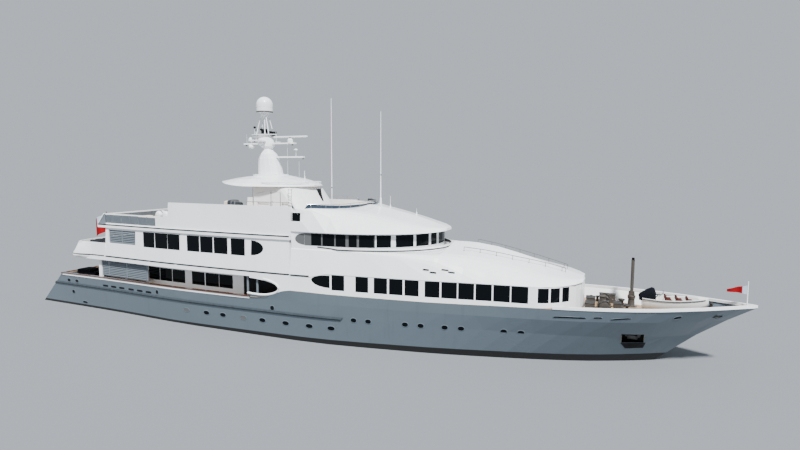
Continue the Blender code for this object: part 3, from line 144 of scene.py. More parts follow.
class YachtSizes(bpy.types.PropertyGroup):
    """Sizes of the repeated fittings, in metres of the full-size yacht."""

    plank: length("Plank width", "Width of a deck plank", 0.14)
    seam: length("Seam width", "Width of the caulking between planks", 0.012)
    portlight_length: length("Portlight length", "Length of a hull window", 0.56)
    portlight_height: length("Portlight height", "Height of a hull window", 0.31)
    high_portlight_length: length("Forward portlight length", "Length of a hull window forward", 0.42)
    slat_pitch: length("Slat pitch", "Distance between the slats of a screen", 0.135)
    rail_radius: length("Rail radius", "Radius of a handrail", 0.022)
    stanchion_pitch: length("Stanchion pitch", "Distance between the posts of the sundeck rail", 1.1)
    # Height of the lines of painted shadow at the deck edges
    shadow_line_height: length("Deck line height", "Height of the dark line at each deck's edge", 0.11)
    dome_sides: IntProperty(name="Dome sides", description="Sides of each turned dome", default=40, min=12)


# Shader expressions


class Value:
    """A socket of a finish, with Python's operators as Math nodes."""

    def __init__(self, finish, socket):
        self.finish = finish
        self.socket = socket

    def maths(self, operation, *others):
        return self.finish.node("ShaderNodeMath", {"operation": operation}, [self, *others])

    def __add__(self, other):
        return self.maths("ADD", other)

    def __sub__(self, other):
        return self.maths("SUBTRACT", other)

    def __mul__(self, other):
        return self.maths("MULTIPLY", other)

    def __rsub__(self, other):
        return self * -1 + other

    def __truediv__(self, other):
        return self.maths("DIVIDE", other)

    def __mod__(self, other):
        return self.maths("FLOORED_MODULO", other)

    def __gt__(self, other):
        return self.maths("GREATER_THAN", other)

    def __lt__(self, other):
        return self.maths("LESS_THAN", other)

    def __abs__(self):
        return self.maths("ABSOLUTE")

    def floor(self):
        return self.maths("FLOOR")

    def at_least(self, other):
        return self.maths("MAXIMUM", other)

    __radd__ = __add__
    __rmul__ = __mul__


class Finish:
    """A material whose shader is fed by expressions."""

    def __init__(self, name, tint, roughness, metallic=0.0, coat=0.0):
        self.material = bpy.data.materials.new(name)
        self.material.use_nodes = True
        self.tree = self.material.node_tree
        self.shader = self.tree.nodes["Principled BSDF"]
        self.tint = (*tint, 1.0)
        self.set("Base Color", self.tint)
        self.set("Roughness", roughness)
        self.set("Metallic", metallic)
        self.set("Coat Weight", coat)
        self.set("Coat Roughness", 0.08)
        self.material.diffuse_color = self.tint

    def node(self, kind, settings=None, sockets=(), output=0):
        """A node: its settings first, then the values or links of its sockets."""
        made = self.tree.nodes.new(kind)
        for name, value in (settings or {}).items():
            setattr(made, name, value)
        pairs = sockets.items() if isinstance(sockets, dict) else enumerate(sockets)
        for key, value in pairs:
            if isinstance(value, Value):
                self.tree.links.new(value.socket, made.inputs[key])
            else:
                made.inputs[key].default_value = value
        return Value(self, made.outputs[output])

    def set(self, socket, value):
        if isinstance(value, Value):
            self.tree.links.new(value.socket, self.shader.inputs[socket])
        else:
            self.shader.inputs[socket].default_value = value

    def place(self):
        return self.node("ShaderNodeTexCoord", output=3)

    def parts(self, vector):
        """The three numbers of a vector."""
        split = self.node("ShaderNodeSeparateXYZ", sockets=[vector]).socket.node
        return [Value(self, socket) for socket in split.outputs]

    def facing(self):
        return self.parts(self.node("ShaderNodeNewGeometry", output=1))

    def noise(self, size, detail=3.0, stretch=(1, 1, 1)):
        """Noise whose patches are about this size, in full-size metres."""
        moved = self.node("ShaderNodeVectorMath", {"operation": "MULTIPLY"}, [self.place(), stretch])
        return self.node("ShaderNodeTexNoise", {},
                         {"Vector": moved, "Scale": 1 / (size * SCALE), "Detail": detail})

    def band(self, value, low, high):
        """0 below low, 1 above high, and smooth between."""
        return self.node("ShaderNodeMapRange", {"interpolation_type": "SMOOTHSTEP"},
                         {"Value": value, "From Min": low, "From Max": high})

    def mix(self, factor, one, two):
        return self.node("ShaderNodeMix", {"data_type": "RGBA"}, {0: factor, 6: one, 7: two}, output=2)

    def shade(self, factor, dark):
        """The finish's own tint, darkened towards a share of itself where the factor is 1."""
        darker = (*[c * dark for c in self.tint[:3]], 1.0)
        return self.mix(factor, self.tint, darker)

    def bump(self, height, distance, strength=1.0):
        """A relief of this depth, in full-size metres."""
        normal = self.node("ShaderNodeBump", {}, {"Strength": strength, "Distance": distance * SCALE,
                                                  "Height": height})
        self.set("Normal", normal)


def lit_paint(name, tint, roughness=0.26, coat=0.35, metallic=0.0):
    """Sprayed gloss paint, a little uneven, with rain streaks and salt that dull it."""
    paint = Finish(name, tint, roughness, metallic, coat)
    streaks = paint.band(paint.noise(0.5, 4.0, (1, 1, 0.12)), 0.52, 0.80)
    patches = paint.band(paint.noise(3.0, 3.0), 0.42, 0.70)
    paint.set("Base Color", paint.shade(streaks * 0.35 + patches * 0.25, 0.86))
    paint.set("Roughness", patches * 0.10 + streaks * 0.06 + roughness)
    paint.bump(paint.noise(1.6, 2.0), 0.004, 0.35)
    return paint


# Length of a deck plank, and how far its ends shift from row to row as a share of it
PLANK_LENGTH = 3.0
PLANK_SHIFT = 0.37


def planked(paint, base, mask, colours, sizes):
    """Lays teak planks over the base colour where the mask is 1."""
    x, y, _ = paint.parts(paint.place())
    pitch = sizes.plank * SCALE
    across = (y + 40 * pitch) / pitch
    row = across.floor()
    along = x / (PLANK_LENGTH * SCALE) + row * PLANK_SHIFT
    caulk = abs(across % 1.0 - 0.5) > 0.5 - sizes.seam / sizes.plank / 2
    seams = caulk.at_least((along % 1.0) < sizes.seam / PLANK_LENGTH)
    tone = paint.node("ShaderNodeTexWhiteNoise", {"noise_dimensions": "1D"},
                      {"W": row + along.floor() * 7.0})
    grain = paint.noise(0.10, 4.0, (0.08, 1, 1))
    dark = (*[c * 0.66 for c in colours.teak], 1.0)
    wood = paint.mix(tone * 0.55 + grain * 0.45, (*colours.teak, 1.0), dark)
    wood = paint.mix(seams, wood, (*colours.caulking, 1.0))
    return paint.mix(mask, base, wood), grain, seams


# Boot-top of the model: height aft, where it starts to rise, and its slope from there
BOOT_TOP = (0.105, -6.0, 0.0105)

# Heights on the model over which the hull's skin is a laid deck, or the inside of the bulwark
DECK_FROM = 0.9
INSIDE_FROM = 0.95

# Place of the transom on the model, whose outside keeps the topsides' colour
TRANSOM = -13.2


def hull_paint(colours, sizes):
    """Metallic grey topsides over a black boot-top, white bulwarks inside and laid decks."""
    paint = Finish("hull_paint", colours.hull, 0.24, 0.35, 0.3)
    x, y, z = paint.parts(paint.place())
    facing_x, facing_y, facing_z = paint.facing()
    flow = paint.band(paint.noise(4.0, 3.0, (0.35, 1, 1)), 0.35, 0.75)
    streaks = paint.band(paint.noise(0.45, 4.0, (1, 1, 0.10)), 0.55, 0.82)
    topsides = paint.shade(flow * 0.35 + streaks * 0.40, 0.80)
    height, start, slope = BOOT_TOP
    shoulder = (x - start).at_least(0.0) * slope + height
    below = paint.band(shoulder - z, -0.004, 0.004)
    skin = paint.mix(below, topsides, (*colours.boot_top, 1.0))
    inward = ((facing_y * y) < -0.02) * (facing_x > -0.3)
    ends = (abs(facing_x) > 0.97) * (x > TRANSOM)
    deck = (facing_z > 0.85) * (z > DECK_FROM)
    inside = inward.at_least(ends).at_least(deck) * (z > INSIDE_FROM)
    inner = paint.mix(inside, skin, (*colours.white, 1.0))
    base, _, seams = planked(paint, inner, deck, colours, sizes)
    paint.set("Base Color", base)
    paint.set("Metallic", (1 - inside) * (1 - below) * 0.35)
    paint.set("Roughness", deck * 0.35 + below * 0.28 + flow * 0.06 + 0.22)
    paint.set("Coat Weight", (1 - deck) * (1 - below) * 0.3)
    paint.bump(paint.noise(1.8, 2.0, (0.5, 1, 1)) + seams * deck * -1.0, 0.006, 0.4)
    return paint


def deck_over_paint(name, tint, colours, sizes, above):
    """White paint with laid planks on its level tops above a height."""
    paint = Finish(name, tint, 0.28, 0.0, 0.3)
    _, _, facing_z = paint.facing()
    _, _, z = paint.parts(paint.place())
    mask = (facing_z > 0.9) * (z > above * SCALE)
    patches = paint.band(paint.noise(3.0, 3.0), 0.42, 0.70)
    base, grain, seams = planked(paint, paint.shade(patches * 0.3, 0.88), mask, colours, sizes)
    paint.set("Base Color", base)
    paint.set("Roughness", mask * 0.32 + grain * 0.06 + 0.26)
    paint.set("Coat Weight", (1 - mask) * 0.3)
    paint.bump(seams * mask * -1.0 + grain * mask * 0.2, 0.004, 0.5)
    return paint


def dark_glass(colours):
    glass = Finish("dark_glass", colours.glass, 0.05)
    haze = glass.band(glass.noise(0.8, 3.0, (1, 1, 0.3)), 0.45, 0.8)
    glass.set("Roughness", haze * 0.05 + 0.04)
    glass.bump(glass.noise(2.5, 1.0), 0.003, 0.3)
    glass.set("Specular IOR Level", 0.10)
    return glass


def varnished(name, tint, coat=0.8):
    """Varnished wood with its grain along the hull."""
    wood = Finish(name, tint, 0.30, 0.0, coat)
    grain = wood.noise(0.05, 5.0, (0.05, 1, 1))
    wood.set("Base Color", wood.mix(grain, (*tint, 1.0), (*[c * 0.45 for c in tint], 1.0)))
    wood.set("Roughness", grain * 0.14 + 0.20)
    wood.bump(grain, 0.002, 0.3)
    return wood


def bare_metal(name, tint, roughness, stain=0.3):
    """Metal with fine scratches and dull patches."""
    metal = Finish(name, tint, roughness, 1.0)
    patches = metal.band(metal.noise(0.35, 4.0), 0.40, 0.75)
    scratches = metal.noise(0.02, 2.0, (0.1, 1, 1))
    metal.set("Base Color", metal.shade(patches * stain, 0.55))
    metal.set("Roughness", patches * 0.22 + scratches * 0.08 + roughness)
    metal.bump(scratches, 0.0008, 0.4)
    return metal


def rubber(name, tint, roughness=0.55):
    """Rubber or plastic with a dull, lightly pitted skin."""
    skin = Finish(name, tint, roughness)
    skin.set("Specular IOR Level", 0.15)
    patches = skin.band(skin.noise(0.3, 4.0), 0.35, 0.75)
    skin.set("Base Color", skin.shade(patches, 0.70))
    skin.set("Roughness", patches * 0.15 + roughness - 0.05)
    skin.bump(skin.noise(0.03, 3.0), 0.001, 0.5)
    return skin


def cloth(name, tint, thread=0.006, roughness=0.85):
    """Woven cloth: threads both ways, with soft wear."""
    weave = Finish(name, tint, roughness)
    weave.set("Specular IOR Level", 0.12)
    waves = []
    for turn in ("X", "Z"):
        waves.append(weave.node("ShaderNodeTexWave", {"bands_direction": turn},
                                {"Vector": weave.place(), "Scale": 1 / (thread * SCALE * 3.1)}, output=1))
    threads = waves[0] * waves[1]
    wear = weave.band(weave.noise(0.25, 4.0), 0.40, 0.75)
    weave.set("Base Color", weave.shade(threads * 0.4 + wear * 0.3, 0.72))
    weave.set("Roughness", wear * 0.08 + roughness)
    weave.bump(threads + weave.noise(0.08, 2.0) * 0.6, 0.002, 0.6)
    return weave


MATERIALS = {}


def make_materials(colours, sizes):
    """Every finish by its plain name."""
    made = {
        "hull": hull_paint(colours, sizes),
        "hull_trim": lit_paint("hull_trim", colours.hull, 0.30, 0.2, 0.3),
        "white": lit_paint("white_paint", colours.white),
        "deck": deck_over_paint("deck_paint", colours.white, colours, sizes, 0.0),
        "glass": dark_glass(colours),
        "smoked": rubber("smoked_glass", (0.035, 0.050, 0.070), 0.18),
        "machinery": lit_paint("deck_machinery", (0.050, 0.043, 0.036), 0.45, 0.1),
        "varnish": varnished("varnish", colours.varnish),
        "teak": varnished("teak_trim", colours.teak, 0.1),
        "strake": rubber("strake_rubber", colours.strake, 0.42),
        "louvre": lit_paint("louvre_paint", colours.louvre, 0.38, 0.1),
        "steel": bare_metal("stainless", colours.steel, 0.20),
        "dull": bare_metal("dull_steel", (0.11, 0.105, 0.10), 0.42, 0.5),
        "bronze": bare_metal("bronze", colours.bronze, 0.30, 0.6),
        "bottom": rubber("antifouling", colours.boot_top, 0.65),
        "cushion": cloth("dark_cushion", colours.cushion),
        "pale_cushion": cloth("pale_cushion", colours.pale_cushion),
        "leather": cloth("tender_seats", colours.leather, 0.004, 0.6),
        "cover": cloth("blue_cover", colours.cover, 0.008),
        # Black rubber, and the black that stands as painted shade inside pockets and openings
        "black": rubber("black_rubber_and_painted_shade", (0.004, 0.004, 0.005), 0.5),
        "grey": lit_paint("grey_gear", (0.085, 0.088, 0.090), 0.45, 0.1),
        "tender": lit_paint("tender_hull", (0.78, 0.78, 0.76), 0.30, 0.4),
        "plastic": lit_paint("white_plastic", (0.78, 0.80, 0.82), 0.34, 0.1),
        "red": cloth("ensign_red", colours.flag_red, 0.010, 0.75),
        "pale_blue": cloth("ensign_pale_blue", colours.flag_pale, 0.010, 0.75),
        # Painted shadow: dark lines at deck edges, ledges and doors, and the dark inside of the vent slots
        "shadow": rubber("painted_shadow", (0.020, 0.023, 0.026), 0.6),
    }
    MATERIALS.update({name: finish.material for name, finish in made.items()})


# Finish of each kind of CAD node, by how its name starts
NODE_FINISHES = (
    ("hull", "hull"), ("aft_cap_rail", "varnish"), ("bow_cap_rail", "white"), ("rubbing_strake", "strake"),
    ("main_deck_forward_glass", "glass"), ("main_deck_house_glass", "glass"), ("upper_deck_glass", "glass"),
    ("wheelhouse_glass", "glass"), ("salon_door", "glass"), ("main_deck_louvre", "louvre"),
    ("upper_deck_louvre", "louvre"), ("bridge_deck_screen", "louvre"), ("upper_deck_slab", "deck"),
    ("bridge_deck_slab", "deck"), ("sundeck_floor", "deck"), ("propeller", "bronze"), ("anchor", "steel"),
    ("rudder", "bottom"), ("stabiliser_fin", "bottom"), ("windlass", "steel"), ("crane_boom", "steel"),
    ("crane_head", "steel"), ("radome_stand", "plastic"), ("tender_chocks", "teak"), ("tender", "tender"),
    ("aft_deck_seat", "cushion"), ("ensign_staff", "varnish"), ("", "white"),
)


# Mesh building, in full-size metres


def oval(half_length, half_height, count=24, squareness=1.0):
    """Points round an ellipse, squared off below a squareness of 1."""
    points = []
    for angle in around(count):
        c, s = math.cos(angle), math.sin(angle)
        points.append((half_length * math.copysign(abs(c) ** squareness, c),
                       half_height * math.copysign(abs(s) ** squareness, s)))
    return points


def turn_to(direction):
    """A turn that brings +Z to the direction."""
    return Vector(direction).normalized().to_track_quat("Z", "Y").to_matrix()


def cubic_path(points, count=3):
    """A smooth line through the points, a few steps to each stretch."""
    points = [Vector(p) for p in points]
    ends = [points[0] * 2 - points[1], *points, points[-1] * 2 - points[-2]]
    line = []
    for a, b, c, d in zip(ends, ends[1:], ends[2:], ends[3:]):
        for i in range(count):
            t = i / count
            line.append(0.5 * (2 * b + (c - a) * t + (2 * a - 5 * b + 4 * c - d) * t * t
                               + (3 * b - a - 3 * c + d) * t ** 3))
    return line + [points[-1]]


class Piece:
    """A mesh under construction, with one material slot for each finish that it uses."""

    def __init__(self, name, finish="white"):
        self.name = name
        self.bm = bmesh.new()
        self.finishes = []
        self.use(finish)

    def use(self, finish):
        if finish not in self.finishes:
            self.finishes.append(finish)
        self.index = self.finishes.index(finish)
        return self

    def face(self, corners):
        self.bm.faces.new(corners).material_index = self.index

    def loft(self, rings, caps=True, loop=False):
        """A skin over closed rings of equal length, back to the first one for a loop."""
        rows = [[self.bm.verts.new(p) for p in ring] for ring in rings]
        pairs = list(zip(rows, rows[1:])) + ([(rows[-1], rows[0])] if loop else [])
        for one, two in pairs:
            for i in range(len(one)):
                j = (i + 1) % len(one)
                self.face((one[i], one[j], two[j], two[i]))
        if caps and not loop:
            self.face(rows[0][::-1])
            self.face(rows[-1])

    def box(self, x, y, z):
        ring = ((x[0], y[0]), (x[1], y[0]), (x[1], y[1]), (x[0], y[1]))
        self.loft([[(a, b, height) for a, b in ring] for height in z])

    def prism(self, outline, y):
        """An outline in the XZ plane, run across the hull."""
        self.loft([[(a, side, b) for a, b in outline] for side in y])

    def plan(self, outline, z):
        """An outline in plan, run up between two levels."""
        self.loft([[(a, b, height) for a, b in outline] for height in z])

    def turned(self, centre, profile, sides=20, direction=UP):
        """A turned solid: rows of radius and distance along the direction."""
        turn = turn_to(direction)
        rings = []
        for radius, along in profile:
            ring = [(radius * math.cos(a), radius * math.sin(a), along) for a in around(sides)]
            rings.append([Vector(centre) + turn @ Vector(p) for p in ring])
        self.loft(rings)

    def rod(self, start, end, radius, end_radius=None, sides=8):
        reach = Vector(end) - Vector(start)
        self.turned(start, ((radius, 0), (end_radius or radius, reach.length)), sides, reach)

    def pipe(self, points, radius, sides=8):
        """A tube along a line of points, mitred at each bend."""
        points = [Vector(p) for p in points]
        rings = []
        for i, point in enumerate(points):
            before = points[max(i - 1, 0)]
            after = points[min(i + 1, len(points) - 1)]
            direction = (after - before).normalized()
            across = UP.cross(direction)
            across = across.normalized() if across.length > 0.05 else Vector((0, 1, 0))
            up = direction.cross(across)
            rings.append([point + (across * math.cos(a) + up * math.sin(a)) * radius for a in around(sides)])
        self.loft(rings)

    def bar(self, start, end, width, height, tilt=0.0):
        """A rectangular bar between two points, tilted about its own length."""
        start, end = Vector(start), Vector(end)
        along = (end - start).normalized()
        out = along.cross(UP)
        out = out.normalized() if out.length > 1e-3 else Vector((0, 1, 0))
        up = out.cross(along)
        turn = Matrix.Rotation(tilt, 3, along)
        corners = [turn @ (out * a * width / 2 + up * b * height / 2) for a, b in CORNERS]
        self.loft([[point + corner for corner in corners] for point in (start, end)])

    def level_bar(self, one, two, z, width, height, tilt=0.0):
        """A bar between two places in plan, at one level."""
        self.bar((*one.xy, z), (*two.xy, z), width, height, tilt)

    def strip(self, points, width, height):
        """A band of rectangular section along a line of points."""
        rings = []
        for i, point in enumerate(points):
            along = (points[min(i + 1, len(points) - 1)] - points[max(i - 1, 0)]).normalized()
            out = along.cross(UP).normalized()
            rings.append([point + out * a * width / 2 + UP * b * height / 2 for a, b in CORNERS])
        self.loft(rings)

    def plate(self, place, outline, low, high):
        """A flat outline on a place, from one height over its surface to another."""
        self.loft([[place @ Vector((a, b, level)) for a, b in outline] for level in (low, high)])

    def rim(self, place, outline, width, low, high):
        """A raised frame just outside an outline on a place."""
        rings = []
        for grow, level in ((width, low), (width, high * 0.6), (width * 0.6, high), (0, high), (0, low)):
            ring = []
            for a, b in outline:
                size = math.hypot(a, b)
                ring.append(place @ Vector((a * (1 + grow / size), b * (1 + grow / size), level)))
            rings.append(ring)
        self.loft(rings, loop=True)

    def cushion(self, x, y, z, crown=0.06, inset=0.05):
        """A crowned pad whose sides pull in a little between its corners."""
        count = 8
        grid = []
        for level in range(5):
            share = level / 4
            bulge = math.sin(math.pi * share)
            ring = []
            for edge in range(4):
                for i in range(count):
                    t = -1 + 2 * i / count
                    a, b = ((t, -1), (1, t), (-t, 1), (-1, -t))[edge]
                    pull = 1 - inset * (1 - t * t) * 0.3 - inset * 0.6 * (1 - bulge)
                    ring.append((x[0] + (x[1] - x[0]) * (1 + a * pull) / 2,
                                 y[0] + (y[1] - y[0]) * (1 + b * pull) / 2,
                                 z[0] + (z[1] - crown - z[0]) * share))
            grid.append(ring)
        middle = Vector(((x[0] + x[1]) / 2, (y[0] + y[1]) / 2, 0))
        for shrink, rise in ((0.90, 0.45), (0.72, 0.75), (0.40, 0.95), (0.08, 1.0)):
            ring = [(middle.x + (px - middle.x) * shrink, middle.y + (py - middle.y) * shrink,
                     z[1] - crown + crown * rise) for px, py, _ in grid[4]]
            grid.append(ring)
        self.loft(grid)

    def done(self, body="root", replaces=(), bevel=0.0):
        """The mesh as an object of the model, riding on its body."""
        bmesh.ops.recalc_face_normals(self.bm, faces=self.bm.faces)
        bmesh.ops.scale(self.bm, verts=self.bm.verts, vec=(SCALE, SCALE, SCALE))
        mesh = bpy.data.meshes.new(self.name)
        self.bm.to_mesh(mesh)
        self.bm.free()
        for finish in self.finishes:
            mesh.materials.append(MATERIALS[finish])
        mesh.shade_smooth()
        mesh.set_sharp_from_angle(angle=SHARP_ANGLE)
        obj = bpy.data.objects.new(self.name, mesh)
        bpy.context.scene.collection.objects.link(obj)
        if bevel:
            rounding = obj.modifiers.new("rounding", "BEVEL")
            rounding.width = bevel * SCALE
            rounding.segments = 2
            rounding.limit_method = "ANGLE"
            rounding.angle_limit = SHARP_ANGLE
            rounding.harden_normals = True
        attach(obj, body)
        if replaces:
            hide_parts(*replaces)
        return obj


SKINS = {}


def skin(node):
    """The node's surface, in full-size metres, for rays."""
    if node not in SKINS:
        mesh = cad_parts[node].data
        points = [v.co / SCALE for v in mesh.vertices]
        SKINS[node] = BVHTree.FromPolygons(points, [tuple(p.vertices) for p in mesh.polygons])
    return SKINS[node]


def ray(node, start, direction):
    """Where a ray meets the node's surface: point and normal, or none twice."""
    return skin(node).ray_cast(Vector(start), Vector(direction))[:2]


def side_point(node, x, z, sign):
    """The node's outer surface at a place along the hull and a height: point and direction outward."""
    point, normal = ray(node, (x, sign * OUTSIDE, z), (0, -sign, 0))
    if point is None:
        raise RuntimeError(f"{node} has no side at {x}, {z}")
    return point, -normal if normal.y * sign < 0 else normal


def top_point(node, x, y):
    """The node's upper surface at a place in plan: point and direction outward."""
    point, normal = ray(node, (x, y, ABOVE), -UP)
    if point is None:
        raise RuntimeError(f"{node} has no top at {x}, {y}")
    return point, normal if normal.z > 0 else -normal


def place_on(point, normal, along=(1, 0, 0)):
    """A place on a surface: X along it, Y up it and Z out of it."""
    across = (Vector(along) - normal * normal.dot(Vector(along))).normalized()
    up = normal.cross(across)
    return Matrix.Translation(point) @ Matrix((across, up, normal)).transposed().to_4x4()


def laid_ring(places, height=0.014, depth=0.02):
    """A closed ring round a thin sheet laid along places on a surface, each a point and its normal."""
    return [p + n * height for p, n in places] + [p - n * depth for p, n in reversed(places)]


def add_port(piece, node, x, z, sign, shape, finish, rim=None, low=-0.01, high=0.006):
    """A thin plate of a shape on a node's side; its rim, if any, has a finish, a width and a height."""
    place = place_on(*side_point(node, x, z, sign))
    if rim:
        rim_finish, width, rise = rim
        piece.use(rim_finish).rim(place, shape, width, low, rise)
    piece.use(finish).plate(place, shape, low, high)


def add_rail(piece, points, height, radius, pitch):
    """A rail on posts along a line of foot points."""
    heads = [p + UP * height for p in points]
    piece.pipe(heads, radius)
    post = radius * 0.85
    piece.rod(points[0], heads[0], post)
    walked = 0.0
    for one, two in zip(points, points[1:]):
        step = (two - one).length
        while walked + step >= pitch:
            one = one.lerp(two, (pitch - walked) / step)
            piece.rod(one, one + UP * height, post)
            step = (two - one).length
            walked = 0.0
        walked += step
    piece.rod(points[-1], heads[-1], post)


def cloth_sheet(name, finish, rows, patch=None):
    """A sheet of cloth over rows of points; a patch of another finish may fill its first corner."""
    piece = Piece(name, finish)
    grid = [[piece.bm.verts.new(p) for p in row] for row in rows]
    columns = len(rows[0]) - 1
    for k, (one, two) in enumerate(zip(grid, grid[1:])):
        for i in range(columns):
            patched = patch and i < columns * patch[1] and k < (len(rows) - 1) * patch[2]
            piece.use(patch[0] if patched else finish)
            piece.face((one[i], one[i + 1], two[i + 1], two[i]))
    area = sum(face.calc_area() for face in piece.bm.faces) * SCALE ** 2
    spans = [sum((Vector(b) - Vector(a)).length for a, b in zip(row, row[1:])) for row in rows]
    span = max(spans) * SCALE
    sheet = piece.done()
    area / span


SCREEN_EDGE = 0.07
SLAT_THICKNESS = 0.014


def slatted(piece, start, end, z, pitch, lean):
    """A framed screen of leaning slats between two foot points and two heights."""
    along = (end - start).normalized()
    edge = SCREEN_EDGE
    for spot, way in ((start, 1), (end, -1)):
        inner = spot + along * edge / 2 * way
        piece.bar((*inner.xy, z[0]), (*inner.xy, z[1]), 0.05, edge)
    for level in (z[0] + edge / 2, z[1] - edge / 2):
        piece.level_bar(start, end, level, 0.05, edge)
    count = int((z[1] - z[0] - 2 * edge) / pitch)
    rise = (z[1] - z[0] - 2 * edge) / count
    start, end = start + along * edge, end - along * edge
    for i in range(count):
        piece.level_bar(start, end, z[0] + edge + rise * (i + 0.5), pitch * 1.15, SLAT_THICKNESS, lean)


# Pieces


class YACHT_OT_finishes(bpy.types.Operator):
    """Gives every piece of the frame its finish"""

    bl_idname = "yacht.finishes"
    bl_label = "Paint and glass"

    def execute(self, context):
        make_materials(context.scene.yacht_colours, context.scene.yacht_sizes)
        for name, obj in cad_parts.items():
            finish = next(kind for start, kind in NODE_FINISHES if name.startswith(start))
            obj.data.materials.clear()
            obj.data.materials.append(MATERIALS[finish])
        return {"FINISHED"}


# Hull windows: place along the hull, closed inside or not
LOW_PORTLIGHTS = ((-10.93, True), (-8.81, False), (-7.14, False), (-5.15, True), (-3.34, False),
                  (-1.24, False), (0.79, False), (2.57, False))
HIGH_PORTLIGHTS = (4.34, 5.43, 8.12, 9.23, 10.88, 11.99, 14.80, 15.91)
LOW_PORTLIGHT_Z = 1.24
HIGH_PORTLIGHT_Z = 2.0
FREEING_PORTS = (-20.94, -19.86, -18.77, -17.54, -16.41, -15.30)
FREEING_PORT_Z = 2.27

# Round ports and mooring openings: place along the hull, height, half-length, half-height
HULL_OPENINGS = ((-2.39, 2.30, 0.17, 0.17), (-14.22, 2.40, 0.15, 0.17), (-26.06, 2.33, 0.22, 0.13),
                 (-24.92, 2.34, 0.22, 0.13), (-25.51, 1.27, 0.18, 0.16), (-23.95, 0.42, 0.34, 0.09),
                 (25.29, 3.57, 0.24, 0.11), (27.76, 3.53, 0.24, 0.11))

# Slots in the bow bulwark: after and forward ends, height
BOW_SLOTS = ((17.96, 19.94, 3.36), (20.40, 20.90, 3.45), (21.40, 22.60, 3.43))


class YACHT_OT_hull_fittings(bpy.types.Operator):
    """Sets portlights, freeing ports, mooring openings and bow slots into the hull's skin"""

    bl_idname = "yacht.hull_fittings"
    bl_label = "Hull fittings"

    def execute(self, context):
        sizes = context.scene.yacht_sizes
        for word, sign in SIDES:
            self.add_portlights(word, sign, sizes)
            openings = Piece(f"mooring_openings_{word}", "hull_trim")
            for x, z, half_length, half_height in HULL_OPENINGS:
                shape = oval(half_length, half_height, 24, 0.8)
                # A black plate in each opening, as painted shade inside it
                add_port(openings, "hull", x, z, sign, shape, "black", ("hull_trim", 0.06, 0.020))
            openings.done()
            # The freeing ports and bow slots are filled with black plates, as painted shade inside them
            slots = Piece(f"freeing_ports_{word}", "black")
            for x in FREEING_PORTS:
                add_port(slots, "hull", x, FREEING_PORT_Z, sign, oval(0.36, 0.085, 16, 0.5), "black")
            for aft, fwd, z in BOW_SLOTS:
                shape = oval((fwd - aft) / 2, 0.055, 24, 0.35)
                add_port(slots, "hull", (aft + fwd) / 2, z, sign, shape, "black",
                         ("hull_trim", 0.03, 0.014), -0.03)
            slots.done()
        return {"FINISHED"}

    def add_portlights(self, word, sign, sizes):
        lights = Piece(f"portlights_{word}", "hull_trim")
        rows = [(x, LOW_PORTLIGHT_Z, sizes.portlight_length, closed) for x, closed in LOW_PORTLIGHTS]
        rows += [(x, HIGH_PORTLIGHT_Z, sizes.high_portlight_length, False) for x in HIGH_PORTLIGHTS]
        for x, z, span, closed in rows:
            shape = oval(span / 2, sizes.portlight_height / 2, 24, 0.9)
            add_port(lights, "hull", x, z, sign, shape, "grey" if closed else "glass",
                     ("hull_trim", 0.055, 0.022), high=0.008)
        lights.done()


# Anchor pocket: along the hull, up, and its back; the chafing plate under it, along the top and foot
POCKET = ((22.11, 23.47), (1.53, 2.21), 1.20)
CHAFE_PLATE = ((22.06, 23.60, 1.52), (22.36, 23.47, 1.08))
LINER = 0.012


